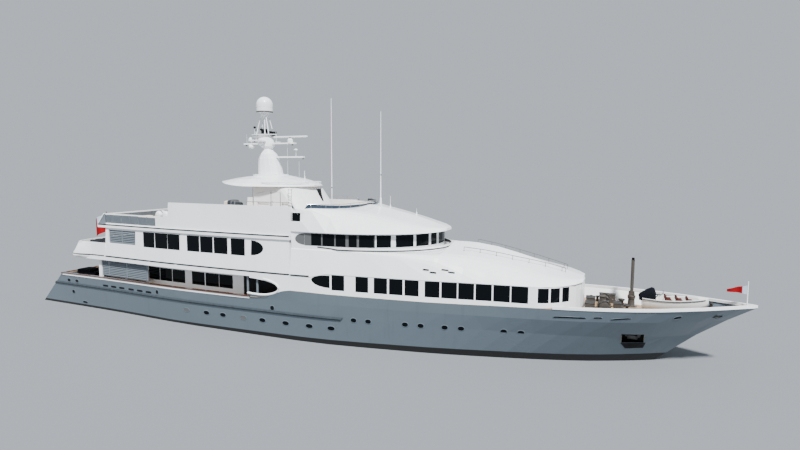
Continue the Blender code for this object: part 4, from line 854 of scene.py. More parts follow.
class YACHT_OT_anchors(bpy.types.Operator):
    """Lines each anchor pocket, plates the hull under it and stows a stockless anchor in it"""

    bl_idname = "yacht.anchors"
    bl_label = "Anchors"

    def execute(self, context):
        for word, sign in SIDES:
            low, high = node_box(f"anchor_{word}")
            middle = (low.x + high.x) / 2
            inner, outer = sorted((abs(low.y), abs(high.y)))
            foot, head = low.z, high.z
            anchor = Piece(f"stowed_anchor_{word}", "dull")
            shank = ((-0.10, foot + 0.30), (0.10, foot + 0.30), (0.07, head), (-0.07, head))
            crown = ((-0.34, foot + 0.16), (0.34, foot + 0.16), (0.26, foot + 0.36), (-0.26, foot + 0.36))
            parts = [(shank, inner + 0.06, outer - 0.12), (crown, inner + 0.02, outer)]
            for turn in (-1, 1):
                fluke = ((turn * 0.20, foot + 0.20), (turn * 0.44, foot + 0.24),
                         (turn * 0.56, head - 0.02), (turn * 0.30, head - 0.16))
                parts.append((fluke, inner + 0.08, outer - 0.04))
            for outline, near, far in parts:
                anchor.prism([(middle + x, z) for x, z in outline], side_span(sign, near, far))
            pin = [(middle + x, sign * (inner + 0.16), foot + 0.10) for x in (-0.3, 0.3)]
            anchor.rod(*pin, 0.07, sides=12)
            anchor.done(replaces=[f"anchor_{word}"], bevel=0.015)
            self.line_pocket(word, sign)
        return {"FINISHED"}

    def line_pocket(self, word, sign):
        """Thin plates on the pocket's walls, bronze at its ends and black as painted shade inside it, and a
        dark chafing plate on the hull under it.
        """
        liner = Piece(f"anchor_pocket_{word}", "bronze")
        (aft, fwd), (low, high), back = POCKET
        near = sign * back
        outer = {(x, z): side_point("hull", x + along, z + rise, sign)[0].y - sign * 0.03
                 for x, along in ((aft, -0.06), (fwd, 0.06)) for z, rise in ((low, -0.06), (high, 0.06))}
        for x, shift in ((aft, LINER), (fwd, -LINER)):
            wall = [(x, near, low), (x, outer[x, low], low), (x, outer[x, high], high), (x, near, high)]
            liner.use("bronze").loft([wall, [(a + shift, b, c) for a, b, c in wall]])
        # The pocket's top, bottom and back are black, as painted shade inside the pocket
        for z, shift in ((low, LINER), (high, -LINER)):
            wall = [(aft, near, z), (aft, outer[aft, z], z), (fwd, outer[fwd, z], z), (fwd, near, z)]
            liner.use("black").loft([wall, [(a, b, c + shift) for a, b, c in wall]])
        liner.box((aft, fwd), side_span(sign, back, back + LINER), (low, high))
        rows = []
        for share in spaced(0, 1, 4):
            aft, fwd, z = (a + (b - a) * share for a, b in zip(*CHAFE_PLATE))
            rows.append(laid_ring([side_point("hull", x, z, sign) for x in spaced(aft, fwd, 8)]))
        liner.use("black").loft(rows)
        liner.done()


# Panels of the slatted side screens: node, panel edges, after edge first
LOUVRE_PANELS = (("main_deck_louvre", (-21.63, -20.75, -18.35, -15.67)),
                 ("upper_deck_louvre", (-20.34, -18.64, -16.91)))
SLAT_LEAN = 0.80


class YACHT_OT_louvres(bpy.types.Operator):
    """Builds the slatted side screens of the main and upper aft decks"""

    bl_idname = "yacht.louvres"
    bl_label = "Slatted screens"

    def execute(self, context):
        pitch = context.scene.yacht_sizes.slat_pitch
        for node, edges in LOUVRE_PANELS:
            for word, sign in SIDES:
                name = f"{node}_{word}"
                low, high = node_box(name)
                middle = (low.z + high.z) / 2
                screen = Piece(f"slats_{name}", "louvre")
                inset = Vector((0, sign * 0.03, 0))
                feet = [side_point(name, x, middle, sign)[0] - inset for x in edges]
                for aft, fwd in zip(feet, feet[1:]):
                    slatted(screen, aft, fwd, (low.z, high.z), pitch, -SLAT_LEAN * sign)
                screen.done(replaces=[name])
        return {"FINISHED"}


# Bridge deck screen: panels on each side and astern, post size, slats, their pitch and lean
SCREEN_PANELS = 6
STERN_PANELS = 7
SCREEN_POST = 0.045
SCREEN_SLATS = 8
SCREEN_PITCH = 0.086
SCREEN_LEAN = 0.75

# Height at which the screen's outer face is taken, and the outline of its raked end plate, along and up
SCREEN_LEVEL = 8.3
WING = ((-21.68, 7.86), (-20.78, 7.86), (-20.78, 8.78), (-20.90, 8.78), (-21.66, 7.96))


class YACHT_OT_bridge_screen(bpy.types.Operator):
    """Builds the open slatted bulwark round the after end of the bridge deck, with its wings"""

    bl_idname = "yacht.bridge_screen"
    bl_label = "Bridge deck screen"

    def execute(self, context):
        low, high = node_box("bridge_deck_screen")
        screen = Piece("bridge_deck_slats", "white")
        corners = []
        for _, sign in SIDES:
            edges = spaced(low.x, high.x - 0.95, SCREEN_PANELS) + [high.x - 0.05]
            edges[0] += 0.02
            inset = Vector((0, sign * 0.05, 0))
            feet = [side_point("bridge_deck_screen", x, SCREEN_LEVEL, sign)[0] - inset for x in edges]
            corners.append(feet[0])
            self.add_fence(screen, feet[:-1], low.z, high.z, -SCREEN_LEAN * sign)
            screen.use("white").level_bar(*feet[-2:], (low.z + high.z) / 2, 0.06, high.z - low.z)
            self.add_wing(screen, sign)
        back = [corners[1].lerp(corners[0], share) for share in spaced(0, 1, STERN_PANELS)]
        self.add_fence(screen, back, low.z, high.z, -SCREEN_LEAN)
        screen.done(replaces=["bridge_deck_screen"])
        return {"FINISHED"}

    def add_fence(self, screen, feet, low, high, lean):
        """Posts, rails and leaning slats along a line of foot points."""
        for foot in feet:
            screen.use("louvre").bar((*foot.xy, low), (*foot.xy, high - 0.06), SCREEN_POST, SCREEN_POST)
        screen.use("white").strip([Vector((*foot.xy, high - 0.05)) for foot in feet], 0.11, 0.10)
        screen.strip([Vector((*foot.xy, low + 0.06)) for foot in feet], 0.055, 0.12)
        screen.use("louvre")
        for one, two in zip(feet, feet[1:]):
            step = (two - one).normalized() * SCREEN_POST / 2
            for row in range(SCREEN_SLATS):
                height = low + 0.16 + row * SCREEN_PITCH
                screen.level_bar(one + step, two - step, height, 0.10, SLAT_THICKNESS, lean)

    def add_wing(self, screen, sign):
        """The raked end plate that carries the screen's line down to the deck edge aft."""
        foot = side_point("bridge_deck_slab", -21.55, 7.7, sign)[0]
        head = side_point("bridge_deck_screen", -20.78, SCREEN_LEVEL, sign)[0]
        start = foot.y - sign * 0.12
        slope = (head.y - start) / (head.x - foot.x)
        rings = [[(x, start + slope * (x - foot.x) - shift, z) for x, z in WING]
                 for shift in (0.0, sign * 0.05)]
        screen.use("louvre").loft(rings)
        screen.use("white").bar(rings[0][4], rings[0][3], 0.12, 0.07)


# Lines of painted shadow along the deck edges, where each deck meets the wall above it: node, height, after
# end, forward end, steps
DECK_LINES = (
    ("upper_deck_plating", 4.975, -20.78, -0.80, 26),
    ("forward_hood", 4.975, -0.70, 0.85, 3),
    ("bridge_deck_slab", 7.815, -21.66, -0.82, 26),
)

# Margins of the deck slabs outside the walls, painted over the teak, the upper one as painted shadow: node,
# finish, after end, forward end, width
DECK_MARGINS = (
    ("upper_deck_slab", "shadow", -20.8, -0.9, 0.14),
    ("bridge_deck_slab", "white", -21.6, -0.9, 0.25),
)


class YACHT_OT_deck_lines(bpy.types.Operator):
    """Draws the line of painted shadow that follows each deck's edge, and paints the margin of each slab,
    the upper deck's as painted shadow
    """

    bl_idname = "yacht.deck_lines"
    bl_label = "Deck lines"

    def execute(self, context):
        height = context.scene.yacht_sizes.shadow_line_height
        for word, sign in SIDES:
            lines = Piece(f"deck_lines_{word}", "shadow")
            for node, z, aft, fwd, steps in DECK_LINES:
                places = [side_point(node, x, z, sign) for x in spaced(aft, fwd, steps)]
                points = [p + Vector((n.x, n.y, 0)).normalized() * 0.001 for p, n in places]
                lines.strip(points, 0.012, height)
            for node, finish, aft, fwd, width in DECK_MARGINS:
                top = node_box(node)[1].z
                low, high = top - 0.02, top + 0.006
                rings = []
                for x in spaced(aft, fwd, 30):
                    edge = side_point(node, x, top - 0.03, sign)[0].y
                    outer, inner = edge + sign * 0.002, edge - sign * width
                    rings.append([(x, outer, low), (x, outer, high), (x, inner, high), (x, inner, low)])
                lines.use(finish).loft(rings)
            lines.done()
        return {"FINISHED"}


# Poles on the mast: place along the hull, across it, foot, head and radius
MAST_POLES = (
    (-7.90, 0.0, 15.60, 16.30, 0.020),
    (-7.55, 0.0, 15.60, 16.90, 0.016),
    (-7.20, -0.05, 15.60, 16.10, 0.016),
    (-6.70, 1.45, 15.20, 15.95, 0.016),
    (-6.70, -1.45, 15.20, 15.95, 0.016),
    (-8.75, 0.0, 15.00, 15.80, 0.012),
    (-3.76, 0.0, 13.84, 14.36, 0.022),
    (-4.60, 0.0, 12.26, 14.92, 0.010),
    (-3.47, 0.0, 12.10, 13.76, 0.010),
)

# Dark gear between the legs of the dome's stand: along, across and height
STAND_GEAR = (
    ((-7.05, -6.62), (-0.26, 0.10), (15.74, 16.20)),
    ((-6.56, -6.28), (-0.10, 0.24), (15.74, 16.02)),
    ((-6.10, -5.88), (-0.12, 0.12), (15.62, 15.98)),
)

# Sensors on the poles: rows of radius and height; then finish, place, sensor and sides
MAST_DOME = ((0.03, 0.0), (0.15, 0.03), (0.16, 0.08), (0.10, 0.14), (0.02, 0.16))
MASTHEAD_SENSOR = ((0.03, 0.0), (0.10, 0.03), (0.11, 0.16), (0.03, 0.19))
SIDE_SENSOR = ((0.03, 0), (0.07, 0.02), (0.07, 0.14), (0.02, 0.17))
MAST_SENSORS = (
    ("plastic", (-3.76, 0.0, 14.34), MAST_DOME, 20),
    ("black", (-7.90, 0.0, 16.28), MASTHEAD_SENSOR, 14),
    ("black", (-7.20, -0.05, 16.08), MASTHEAD_SENSOR, 14),
    ("grey", (-6.70, 1.45, 15.93), SIDE_SENSOR, 12),
    ("grey", (-6.70, -1.45, 15.93), SIDE_SENSOR, 12),
)
MAST_LAMPS = ((-3.06, 0.0, 13.74), (-4.10, 0.0, 14.92), (-8.80, 0.0, 14.92), (-6.75, 1.60, 15.12),
              (-6.75, -1.60, 15.12))

RADOME_X = -6.83
RADAR_X = -4.30
DOME_RADIUS = 0.70
DOME_ROWS = 9

# Ring at the dome's foot: rows of radius and height
DOME_FOOT = ((0.40, 17.494), (0.66, 17.60), (0.705, 17.64), (0.705, 17.70), (0.66, 17.71))

# Section of the radar bar along its half-length: share of the half-length, share of full section
RADAR_SECTIONS = ((-1, 0.45), (-0.985, 0.85), (-0.95, 1.0), (0, 1.0), (0.95, 1.0), (0.985, 0.85), (1, 0.45))


class YACHT_OT_mast_gear(bpy.types.Operator):
    """Fits the satellite dome, turning radar bar, sensors, wires and lamps of the mast"""

    bl_idname = "yacht.mast_gear"
    bl_label = "Mast gear"

    def execute(self, context):
        self.add_satellite_dome(context.scene.yacht_sizes.dome_sides)
        self.add_radar()
        gear = Piece("mast_sensors", "plastic")
        for x, y, foot, head, radius in MAST_POLES:
            gear.rod((x, y, foot), (x, y, head), radius)
        for finish, place, profile, sides in MAST_SENSORS:
            gear.use(finish).turned(place, profile, sides)
        gear.use("plastic").plan([(-6.95 + a, b) for a, b in oval(1.25, 0.62, 28)], (15.70, 15.75))
        for shift in (-1, 1):
            for _, sign in SIDES:
                gear.rod((RADOME_X + shift * 0.62, sign * 0.36, 15.74),
                         (RADOME_X + shift * 0.27, sign * 0.20, 17.26), 0.040)
        for x, y, z in STAND_GEAR:
            gear.use("black").box(x, y, z)
            corner = (x[0] + 0.06, y[0] + 0.06)
            gear.use("grey").rod((*corner, z[1] - 0.02), (*corner, z[1] + 0.20), 0.03)
        gear.done(bevel=0.012)
        lamps = Piece("mast_lamps", "grey")
        for place in MAST_LAMPS:
            lamps.use("grey").turned(place, ((0.02, -0.14), (0.075, -0.13), (0.075, 0.0)), 14)
            lamps.use("steel").turned(place, ((0.080, -0.06), (0.085, -0.05), (0.085, -0.01)), 14)
        lamps.done()
        return {"FINISHED"}

    def add_satellite_dome(self, sides):
        dome = Piece("satellite_dome", "plastic")
        groove = DOME_RADIUS - 0.012
        profile = [(0.42, 17.492), (0.62, 17.58), (DOME_RADIUS, 17.70), (DOME_RADIUS, 17.98),
                   (groove, 17.99), (groove, 18.01), (DOME_RADIUS, 18.02)]
        for angle in spaced(0, math.pi / 2, DOME_ROWS)[:-1]:
            profile.append((DOME_RADIUS * math.cos(angle), 18.24 + 0.69 * math.sin(angle)))
        profile.append((0.03, 18.93))
        dome.turned((RADOME_X, 0, 0), profile, sides)
        dome.use("grey").turned((RADOME_X, 0, 0), DOME_FOOT, sides)
        dome.done(replaces=["radome"])

    def add_radar(self):
        low, high = node_box("radar_scanner")
        bar = Piece("radar_bar", "plastic")
        middle = (low + high) / 2
        z = middle.z + 0.025
        rings = []
        for share, size in RADAR_SECTIONS:
            x = middle.x + share * (high.x - low.x) / 2
            rings.append([(x, a * size, z + b * size) for a, b in oval(0.13, 0.072, 16, 0.6)])
        bar.loft(rings)
        post = ((0.10, low.z), (0.12, low.z + 0.02), (0.12, z - 0.06), (0.07, z - 0.02))
        bar.use("grey").turned((RADAR_X, 0, 0), post, 20)
        bar.done(body="radar", replaces=["radar_scanner"])


# Short antennas: place along the hull, across it, node that carries them, height of the tip, radius
SHORT_ANTENNAS = (
    (-3.30, 0.6, "hardtop", 12.66, 0.022),
    (-2.60, -0.6, "hardtop", 12.66, 0.022),
    (4.47, 1.0, "wheelhouse_brow", 10.64, 0.020),
    (6.74, 1.0, "wheelhouse_brow", 9.70, 0.020),
)

# Turned feet of the antennas: rows of radius and height; the collar stands this far up each whip
ANTENNA_FOOT = ((0.09, -0.02), (0.09, 0.02), (0.05, 0.05), (0.04, 0.22), (0.02, 0.24))
WHIP_FOOT = ((0.16, 0.0), (0.16, 0.03), (0.09, 0.06), (0.075, 0.62), (0.055, 0.64))
WHIP_COLLAR = ((0.055, 0.0), (0.065, 0.02), (0.065, 0.10), (0.055, 0.12))
WHIP_COLLAR_RISE = 2.4


class YACHT_OT_antennas(bpy.types.Operator):
    """Fits the short antennas, the feet of the whips and the fixtures at their bases"""

    bl_idname = "yacht.antennas"
    bl_label = "Antennas"

    def execute(self, context):
        short = Piece("short_antennas", "plastic")
        for x, y, node, tip, radius in SHORT_ANTENNAS:
            foot = top_point(node, x, y)[0]
            short.rod(foot - UP * 0.02, (x, y, tip), radius, radius * 0.5)
            short.turned(foot, ANTENNA_FOOT, 14)
        for name in ("whip_antenna_aft", "whip_antenna_forward"):
            low, high = node_box(name)
            foot = Vector((*((low + high) / 2).xy, low.z))
            short.use("plastic").turned(foot, WHIP_FOOT, 16)
            short.use("steel").turned(foot + UP * WHIP_COLLAR_RISE, WHIP_COLLAR, 12)
        short.done()
        return {"FINISHED"}


# Rail along the hardtop's forward edges, along and across; lights under its after part, along and across
HARDTOP_RAIL = ((-4.9, 3.30), (-4.2, 3.22), (-3.5, 3.02), (-3.0, 2.70), (-2.6, 2.15), (-2.3, 1.50),
                (-2.1, 0.80))
HARDTOP_LIGHTS = ((-9.4, -8.3, -7.2), (-1.7, 0.0, 1.7))


class YACHT_OT_hardtop_fittings(bpy.types.Operator):
    """Fits the tubular rail along the hardtop's forward edges and the lights under it"""

    bl_idname = "yacht.hardtop_fittings"
    bl_label = "Hardtop fittings"

    def execute(self, context):
        fittings = Piece("hardtop_fittings", "plastic")
        for _, sign in SIDES:
            feet = [top_point("hardtop", x, sign * y)[0] for x, y in HARDTOP_RAIL]
            heads = [foot + UP * 0.17 for foot in feet]
            fittings.pipe([feet[0], *cubic_path(heads), feet[-1]], 0.035, 10)
            for foot, head in list(zip(feet, heads))[1:-1]:
                fittings.rod(foot - UP * 0.02, head, 0.022)
        fittings.use("steel")
        for x in HARDTOP_LIGHTS[0]:
            for y in HARDTOP_LIGHTS[1]:
                point = ray("hardtop", (x, y, 9.5), UP)[0]
                if point is not None:
                    fittings.turned(point, ((0.11, -0.015), (0.12, -0.01), (0.12, 0.01)), 16)
        fittings.done()
        return {"FINISHED"}


# Dark pane on the raked front of the sundeck house: height, then its two edges across
HOUSE_WINDOW = ((11.10, 0.46, 1.46), (10.62, 0.27, 0.80), (10.12, 0.22, 0.42))

# Upper arc of the smoked pane laid on the house's after side, and the ends of the grab rails
HOUSE_SMOKED_PANE = ((-6.32, 10.50), (-5.61, 10.80), (-4.79, 10.97), (-3.85, 11.11), (-2.61, 11.21),
                (-6.32, 11.22))
HOUSE_RAILS = ((-6.20, -4.42), (-3.18, -2.62))
HOUSE_RAIL_Z = 10.08

# Ladder to the hardtop, on the starboard side: middle, half-width and rungs
LADDER_X = -2.38
LADDER_HALF = 0.16
LADDER_RUNGS = 8


class YACHT_OT_sundeck_house_fittings(bpy.types.Operator):
    """Fits the sundeck house's raked window, smoked pane, ladder, grab rails and painted shadow lines at its
    doors' edges
    """

    bl_idname = "yacht.sundeck_house_fittings"
    bl_label = "Sundeck house fittings"

    def execute(self, context):
        radius = context.scene.yacht_sizes.rail_radius
        for word, sign in SIDES:
            fittings = Piece(f"sundeck_house_trim_{word}", "smoked")
            arc = [side_point("sundeck_house", x, z, sign) for x, z in HOUSE_SMOKED_PANE]
            fittings.loft([[point + normal * lift for point, normal in arc] for lift in (-0.02, 0.010)])
            if sign > 0:
                self.add_front_pane(fittings)
            fittings.use("steel")
            for aft, fwd in HOUSE_RAILS:
                feet = [side_point("sundeck_house", x, HOUSE_RAIL_Z, sign) for x in spaced(aft, fwd, 2)]
                out = [point + normal * 0.07 for point, normal in feet]
                fittings.pipe([feet[0][0], *out, feet[-1][0]], radius)
            low, high = node_box(f"sundeck_door_{word}")
            # Painted shadow lines on the wall along each edge of the door
            for x in (low.x - 0.035, high.x + 0.035):
                y = side_point("sundeck_house", x, 9.9, sign)[0].y
                fittings.use("shadow").box((x - 0.02, x + 0.02), sorted((y - sign * 0.01, y + sign * 0.012)),
                                           (low.z, high.z))
            fittings.done()
            handle = Piece(f"sundeck_door_handle_{word}", "steel")
            face = max(abs(low.y), abs(high.y))
            line = ((-0.01, 9.95), (0.06, 9.97), (0.06, 10.23), (-0.01, 10.25))
            handle.pipe([(low.x + 0.12, sign * (face + out), z) for out, z in line], 0.016)
            handle.done(body=f"sundeck_door_{word}")
        self.add_ladder()
        return {"FINISHED"}

    def add_front_pane(self, piece):
        """The dark pane on the raked front, port of the centreline as the photo shows it."""
        rings = []
        for z, near, far in HOUSE_WINDOW:
            places = [ray("sundeck_house", (6, y, z), (-1, 0, 0)) for y in spaced(near, far, 6)]
            rings.append(laid_ring(places))
        piece.use("black").loft(rings)

    def add_ladder(self):
        ladder = Piece("hardtop_ladder", "steel")
        wall = side_point("sundeck_house", LADDER_X, 9.3, -1)[0].y
        sides = (LADDER_X - LADDER_HALF, LADDER_X + LADDER_HALF)
        line = ((wall + 0.01, 9.12), (wall - 0.12, 9.14), (wall - 0.12, 11.20), (wall + 0.01, 11.22))
        for x in sides:
            ladder.pipe([(x, y, z) for y, z in line], 0.020)
        for i in range(LADDER_RUNGS):
            ladder.rod(*[(x, wall - 0.12, 9.32 + 0.26 * i) for x in sides], 0.017)
        ladder.done()


# Rail and smoked band round the sundeck: places along the coaming, then round the front of its well
COAMING_RAIL = (-6.2, -5.1, -4.0, -2.9, -1.8, -0.85)
COAMING_RAIL_HEIGHT = 0.30
WELL_START = -0.75
WELL_TIP = 2.95

# Height of the smoked band at its ends and at its tip, and its thickness
SMOKED_BAND = (0.34, 0.12)
SMOKED_BAND_THICKNESS = 0.016


class YACHT_OT_upper_rails(bpy.types.Operator):
    """Runs the rail and a low smoked band round the forward half of the sundeck"""

    bl_idname = "yacht.upper_rails"
    bl_label = "Upper rails"

    def execute(self, context):
        sizes = context.scene.yacht_sizes
        side = []
        for x in COAMING_RAIL:
            side.append(Vector((x, side_point("sundeck_coaming", x, 9.9, 1)[0].y - 0.09, COAMING_TOP)))
        half = side[-1].y
        front = []
        for turn in range(0, 91, 9):
            angle = math.radians(turn)
            x = WELL_START + 0.11 + (WELL_TIP - WELL_START) * math.sin(angle)
            front.append(top_point("wheelhouse_brow", x, (half + 0.02) * math.cos(angle))[0])
        rails = Piece("sundeck_rails", "steel")
        add_rail(rails, mirrored(side + front), COAMING_RAIL_HEIGHT, sizes.rail_radius,
                 sizes.stanchion_pitch)
        rails.done()
        wall = Piece("sundeck_smoked_band", "smoked")
        feet = mirrored(front)
        rings = []
        for i, foot in enumerate(feet):
            middle = 1 - abs(2 * i / (len(feet) - 1) - 1)
            height = SMOKED_BAND[0] + (SMOKED_BAND[1] - SMOKED_BAND[0]) * middle
            inward = Vector((WELL_START - foot.x, -foot.y, 0)).normalized() * SMOKED_BAND_THICKNESS
            low, high = foot - UP * 0.02, foot + UP * height
            rings.append([low, high, high + inward, low + inward])
        wall.loft(rings)
        wall.done()
        return {"FINISHED"}


# Canister liferafts: places along the rack, height and half-length of their axes
LIFERAFT_X = (-14.36, -13.64)
LIFERAFT_Z = 8.90
LIFERAFT_HALF = 0.54

# A canister and a strap round it: rows of radius and distance
CANISTER = ((0.05, 0.0), (0.20, 0.01), (0.27, 0.05), (0.31, 0.12), (0.335, 0.16), (0.335, 0.24),
            (0.315, 0.26), (0.315, 0.36), (0.335, 0.38), (0.335, 0.50), (0.35, 0.51), (0.35, 0.57),
            (0.335, 0.58), (0.335, 0.70), (0.315, 0.72), (0.315, 0.82), (0.335, 0.84), (0.335, 0.92),
            (0.31, 0.96), (0.27, 1.03), (0.20, 1.07), (0.05, 1.08))
STRAP = ((0.325, -0.04), (0.342, -0.04), (0.342, 0.04), (0.325, 0.04))


class YACHT_OT_liferafts(bpy.types.Operator):
    """Builds the canister liferafts on their racks"""

    bl_idname = "yacht.liferafts"
    bl_label = "Liferafts"

    def execute(self, context):
        for word, sign in SIDES:
            node = f"liferafts_{word}"
            low, high = node_box(node)
            middle = (low.y + high.y) / 2
            rafts = Piece(f"liferaft_canisters_{word}", "white")
            rafts.box((low.x + 0.02, high.x - 0.02), (middle - 0.34, middle + 0.34), (low.z, low.z + 0.62))
            rafts.use("steel")
            for x in (low.x + 0.10, high.x - 0.10):
                rafts.box((x - 0.03, x + 0.03), (middle - 0.40, middle + 0.40), (low.z + 0.60, low.z + 0.66))
            for x in LIFERAFT_X:
                start = Vector((x, middle - LIFERAFT_HALF, LIFERAFT_Z))
                rafts.use("plastic").turned(start, CANISTER, 28, (0, 1, 0))
                for along in (0.30, 0.77):
                    rafts.use("black").turned(start + Vector((0, along, 0)), STRAP, 28, (0, 1, 0))
                foot = start + Vector((0, 0.45, -0.34))
                rafts.use("steel").turned(foot, ((0.07, -0.02), (0.09, 0.0), (0.06, 0.05)), 12)
            rafts.done(replaces=[node])
        return {"FINISHED"}


# Rails down the coachroof: along and across, then their height and the pitch of their posts
COACHROOF_RAIL = ((11.5, 2.15), (12.9, 1.95), (14.0, 1.79), (15.1, 1.57), (16.2, 1.28), (17.4, 0.98),
                  (18.4, 0.85))
COACHROOF_RAIL_HEIGHT = 0.30
COACHROOF_POSTS = 1.15

# Slots of the air vents in the forward side: after end, forward end, height
SIDE_VENTS = ((9.32, 9.77, 5.93), (9.81, 10.29, 5.77), (10.58, 11.09, 5.96), (11.05, 11.52, 5.82))


class YACHT_OT_coachroof_fittings(bpy.types.Operator):
    """Fits the handrails and air vents of the sloping coachroof"""

    bl_idname = "yacht.coachroof_fittings"
    bl_label = "Coachroof fittings"

    def execute(self, context):
        radius = context.scene.yacht_sizes.rail_radius
        # The stainless rails take the dark grey finish, as painted shade
        rails = Piece("coachroof_rails", "grey")
        for _, sign in SIDES:
            feet = [top_point("forward_hood", x, sign * y)[0] for x, y in COACHROOF_RAIL]
            add_rail(rails, feet, COACHROOF_RAIL_HEIGHT, radius, COACHROOF_POSTS)
        rails.done()
        vents = Piece("side_vents", "shadow")
        for _, sign in SIDES:
            for aft, fwd, z in SIDE_VENTS:
                shape = oval((fwd - aft) / 2, 0.065, 16, 0.4)
                add_port(vents, "forward_hood", (aft + fwd) / 2, z, sign, shape, "shadow",
                         ("white", 0.03, 0.014), -0.02)
        vents.done()
        return {"FINISHED"}


# Capstans, bollards and mushroom vents on the foredeck, along and across; lockers, along, across and up
CAPSTANS = ((22.1, 1.45), (22.1, -1.45))
BOLLARDS = ((20.25, 2.55), (20.25, -2.55), (27.35, 0.85), (27.35, -0.85))
MUSHROOMS = ((20.05, 0.0), (22.45, 0.75), (19.95, 1.75), (19.95, -1.75))
DECK_BOXES = (((19.75, 20.35), (0.45, 1.25), (3.10, 3.75)), ((19.75, 20.35), (-1.25, -0.45), (3.10, 3.75)),
              ((20.60, 21.70), (-2.75, -2.25), (3.10, 3.72)), ((20.60, 21.70), (2.25, 2.75), (3.10, 3.72)),
              ((21.55, 22.05), (-0.35, 0.35), (3.10, 3.68)))
DECK_HOSE = ((21.2, 0.0, 3.35), (21.6, 0.1, 3.42), (22.0, 0.3, 3.32), (22.3, 0.6, 3.14))
CHAIN_LINK = 0.20

# Turned gear of the foredeck: rows of radius and height
CAPSTAN = ((0.26, 0.0), (0.26, 0.05), (0.14, 0.10), (0.12, 0.30), (0.15, 0.44), (0.22, 0.50), (0.22, 0.56),
           (0.10, 0.60), (0.03, 0.61))
BOLLARD = ((0.10, -0.01), (0.10, 0.34), (0.13, 0.37), (0.13, 0.41), (0.05, 0.44))
MUSHROOM = ((0.10, 0.0), (0.10, 0.24), (0.22, 0.26), (0.24, 0.31), (0.14, 0.37), (0.03, 0.39))
DECK_VENT = ((0.30, 0.0), (0.30, 0.55), (0.22, 0.62), (0.20, 0.90), (0.26, 0.94), (0.26, 1.02), (0.05, 1.06))
CHAIN_PIPE = ((0.20, 0.0), (0.22, 0.03), (0.16, 0.08), (0.13, 0.08), (0.13, 0.02))

# Turned parts of a windlass: rows of radius and distance
WARPING_DRUM = ((0.28, 0.0), (0.30, 0.02), (0.30, 0.05), (0.19, 0.09), (0.16, 0.16), (0.19, 0.23),
                (0.27, 0.27), (0.27, 0.30))
GYPSY = ((0.33, 0.030), (0.27, 0.045), (0.33, 0.065), (0.27, 0.080), (0.33, 0.100), (0.27, 0.115),
         (0.33, 0.135), (0.27, 0.150), (0.33, 0.170), (0.27, 0.185))
BRAKE = ((0.14, 0.0), (0.14, 0.26), (0.11, 0.29), (0.03, 0.31))


class YACHT_OT_windlasses(bpy.types.Operator):
    """Builds the two anchor windlasses with their gypsies, warping drums and brakes"""

    bl_idname = "yacht.windlasses"
    bl_label = "Windlasses"

    def execute(self, context):
        for word, sign in SIDES:
            node = f"windlass_{word}"
            low, high = node_box(node)
            middle = (low + high) / 2
            x, y, z = middle
            axle = z + 0.06
            gear = Piece(f"windlass_gear_{word}", "machinery")
            gear.box((low.x, high.x), (low.y, high.y), (low.z, low.z + 0.10))
            stand = ((-0.34, low.z + 0.08), (0.34, low.z + 0.08), (0.24, z + 0.18), (-0.24, z + 0.18))
            gear.prism([(x + along, level) for along, level in stand], (y - 0.16, y + 0.16))
            gear.use("dull").rod((x, low.y + 0.02, axle), (x, high.y - 0.02, axle), 0.06, sides=12)
            inner, outer = (low.y, high.y) if sign > 0 else (high.y, low.y)
            gear.turned((x, inner + sign * 0.02, axle), WARPING_DRUM, 24, (0, sign, 0))
            gear.use("machinery").turned((x, outer - sign * 0.26, axle), GYPSY, 24, (0, sign, 0))
            gear.use("dull").turned((x + 0.18, y, z + 0.16), BRAKE, 18)
            handle = ((-0.30, -0.10, 0), (-0.38, -0.10, 0.24), (-0.38, 0.10, 0.24), (-0.30, 0.10, 0))
            gear.pipe([middle + Vector(p) for p in handle], 0.02)
            gear.done(replaces=[node], bevel=0.012)
        return {"FINISHED"}


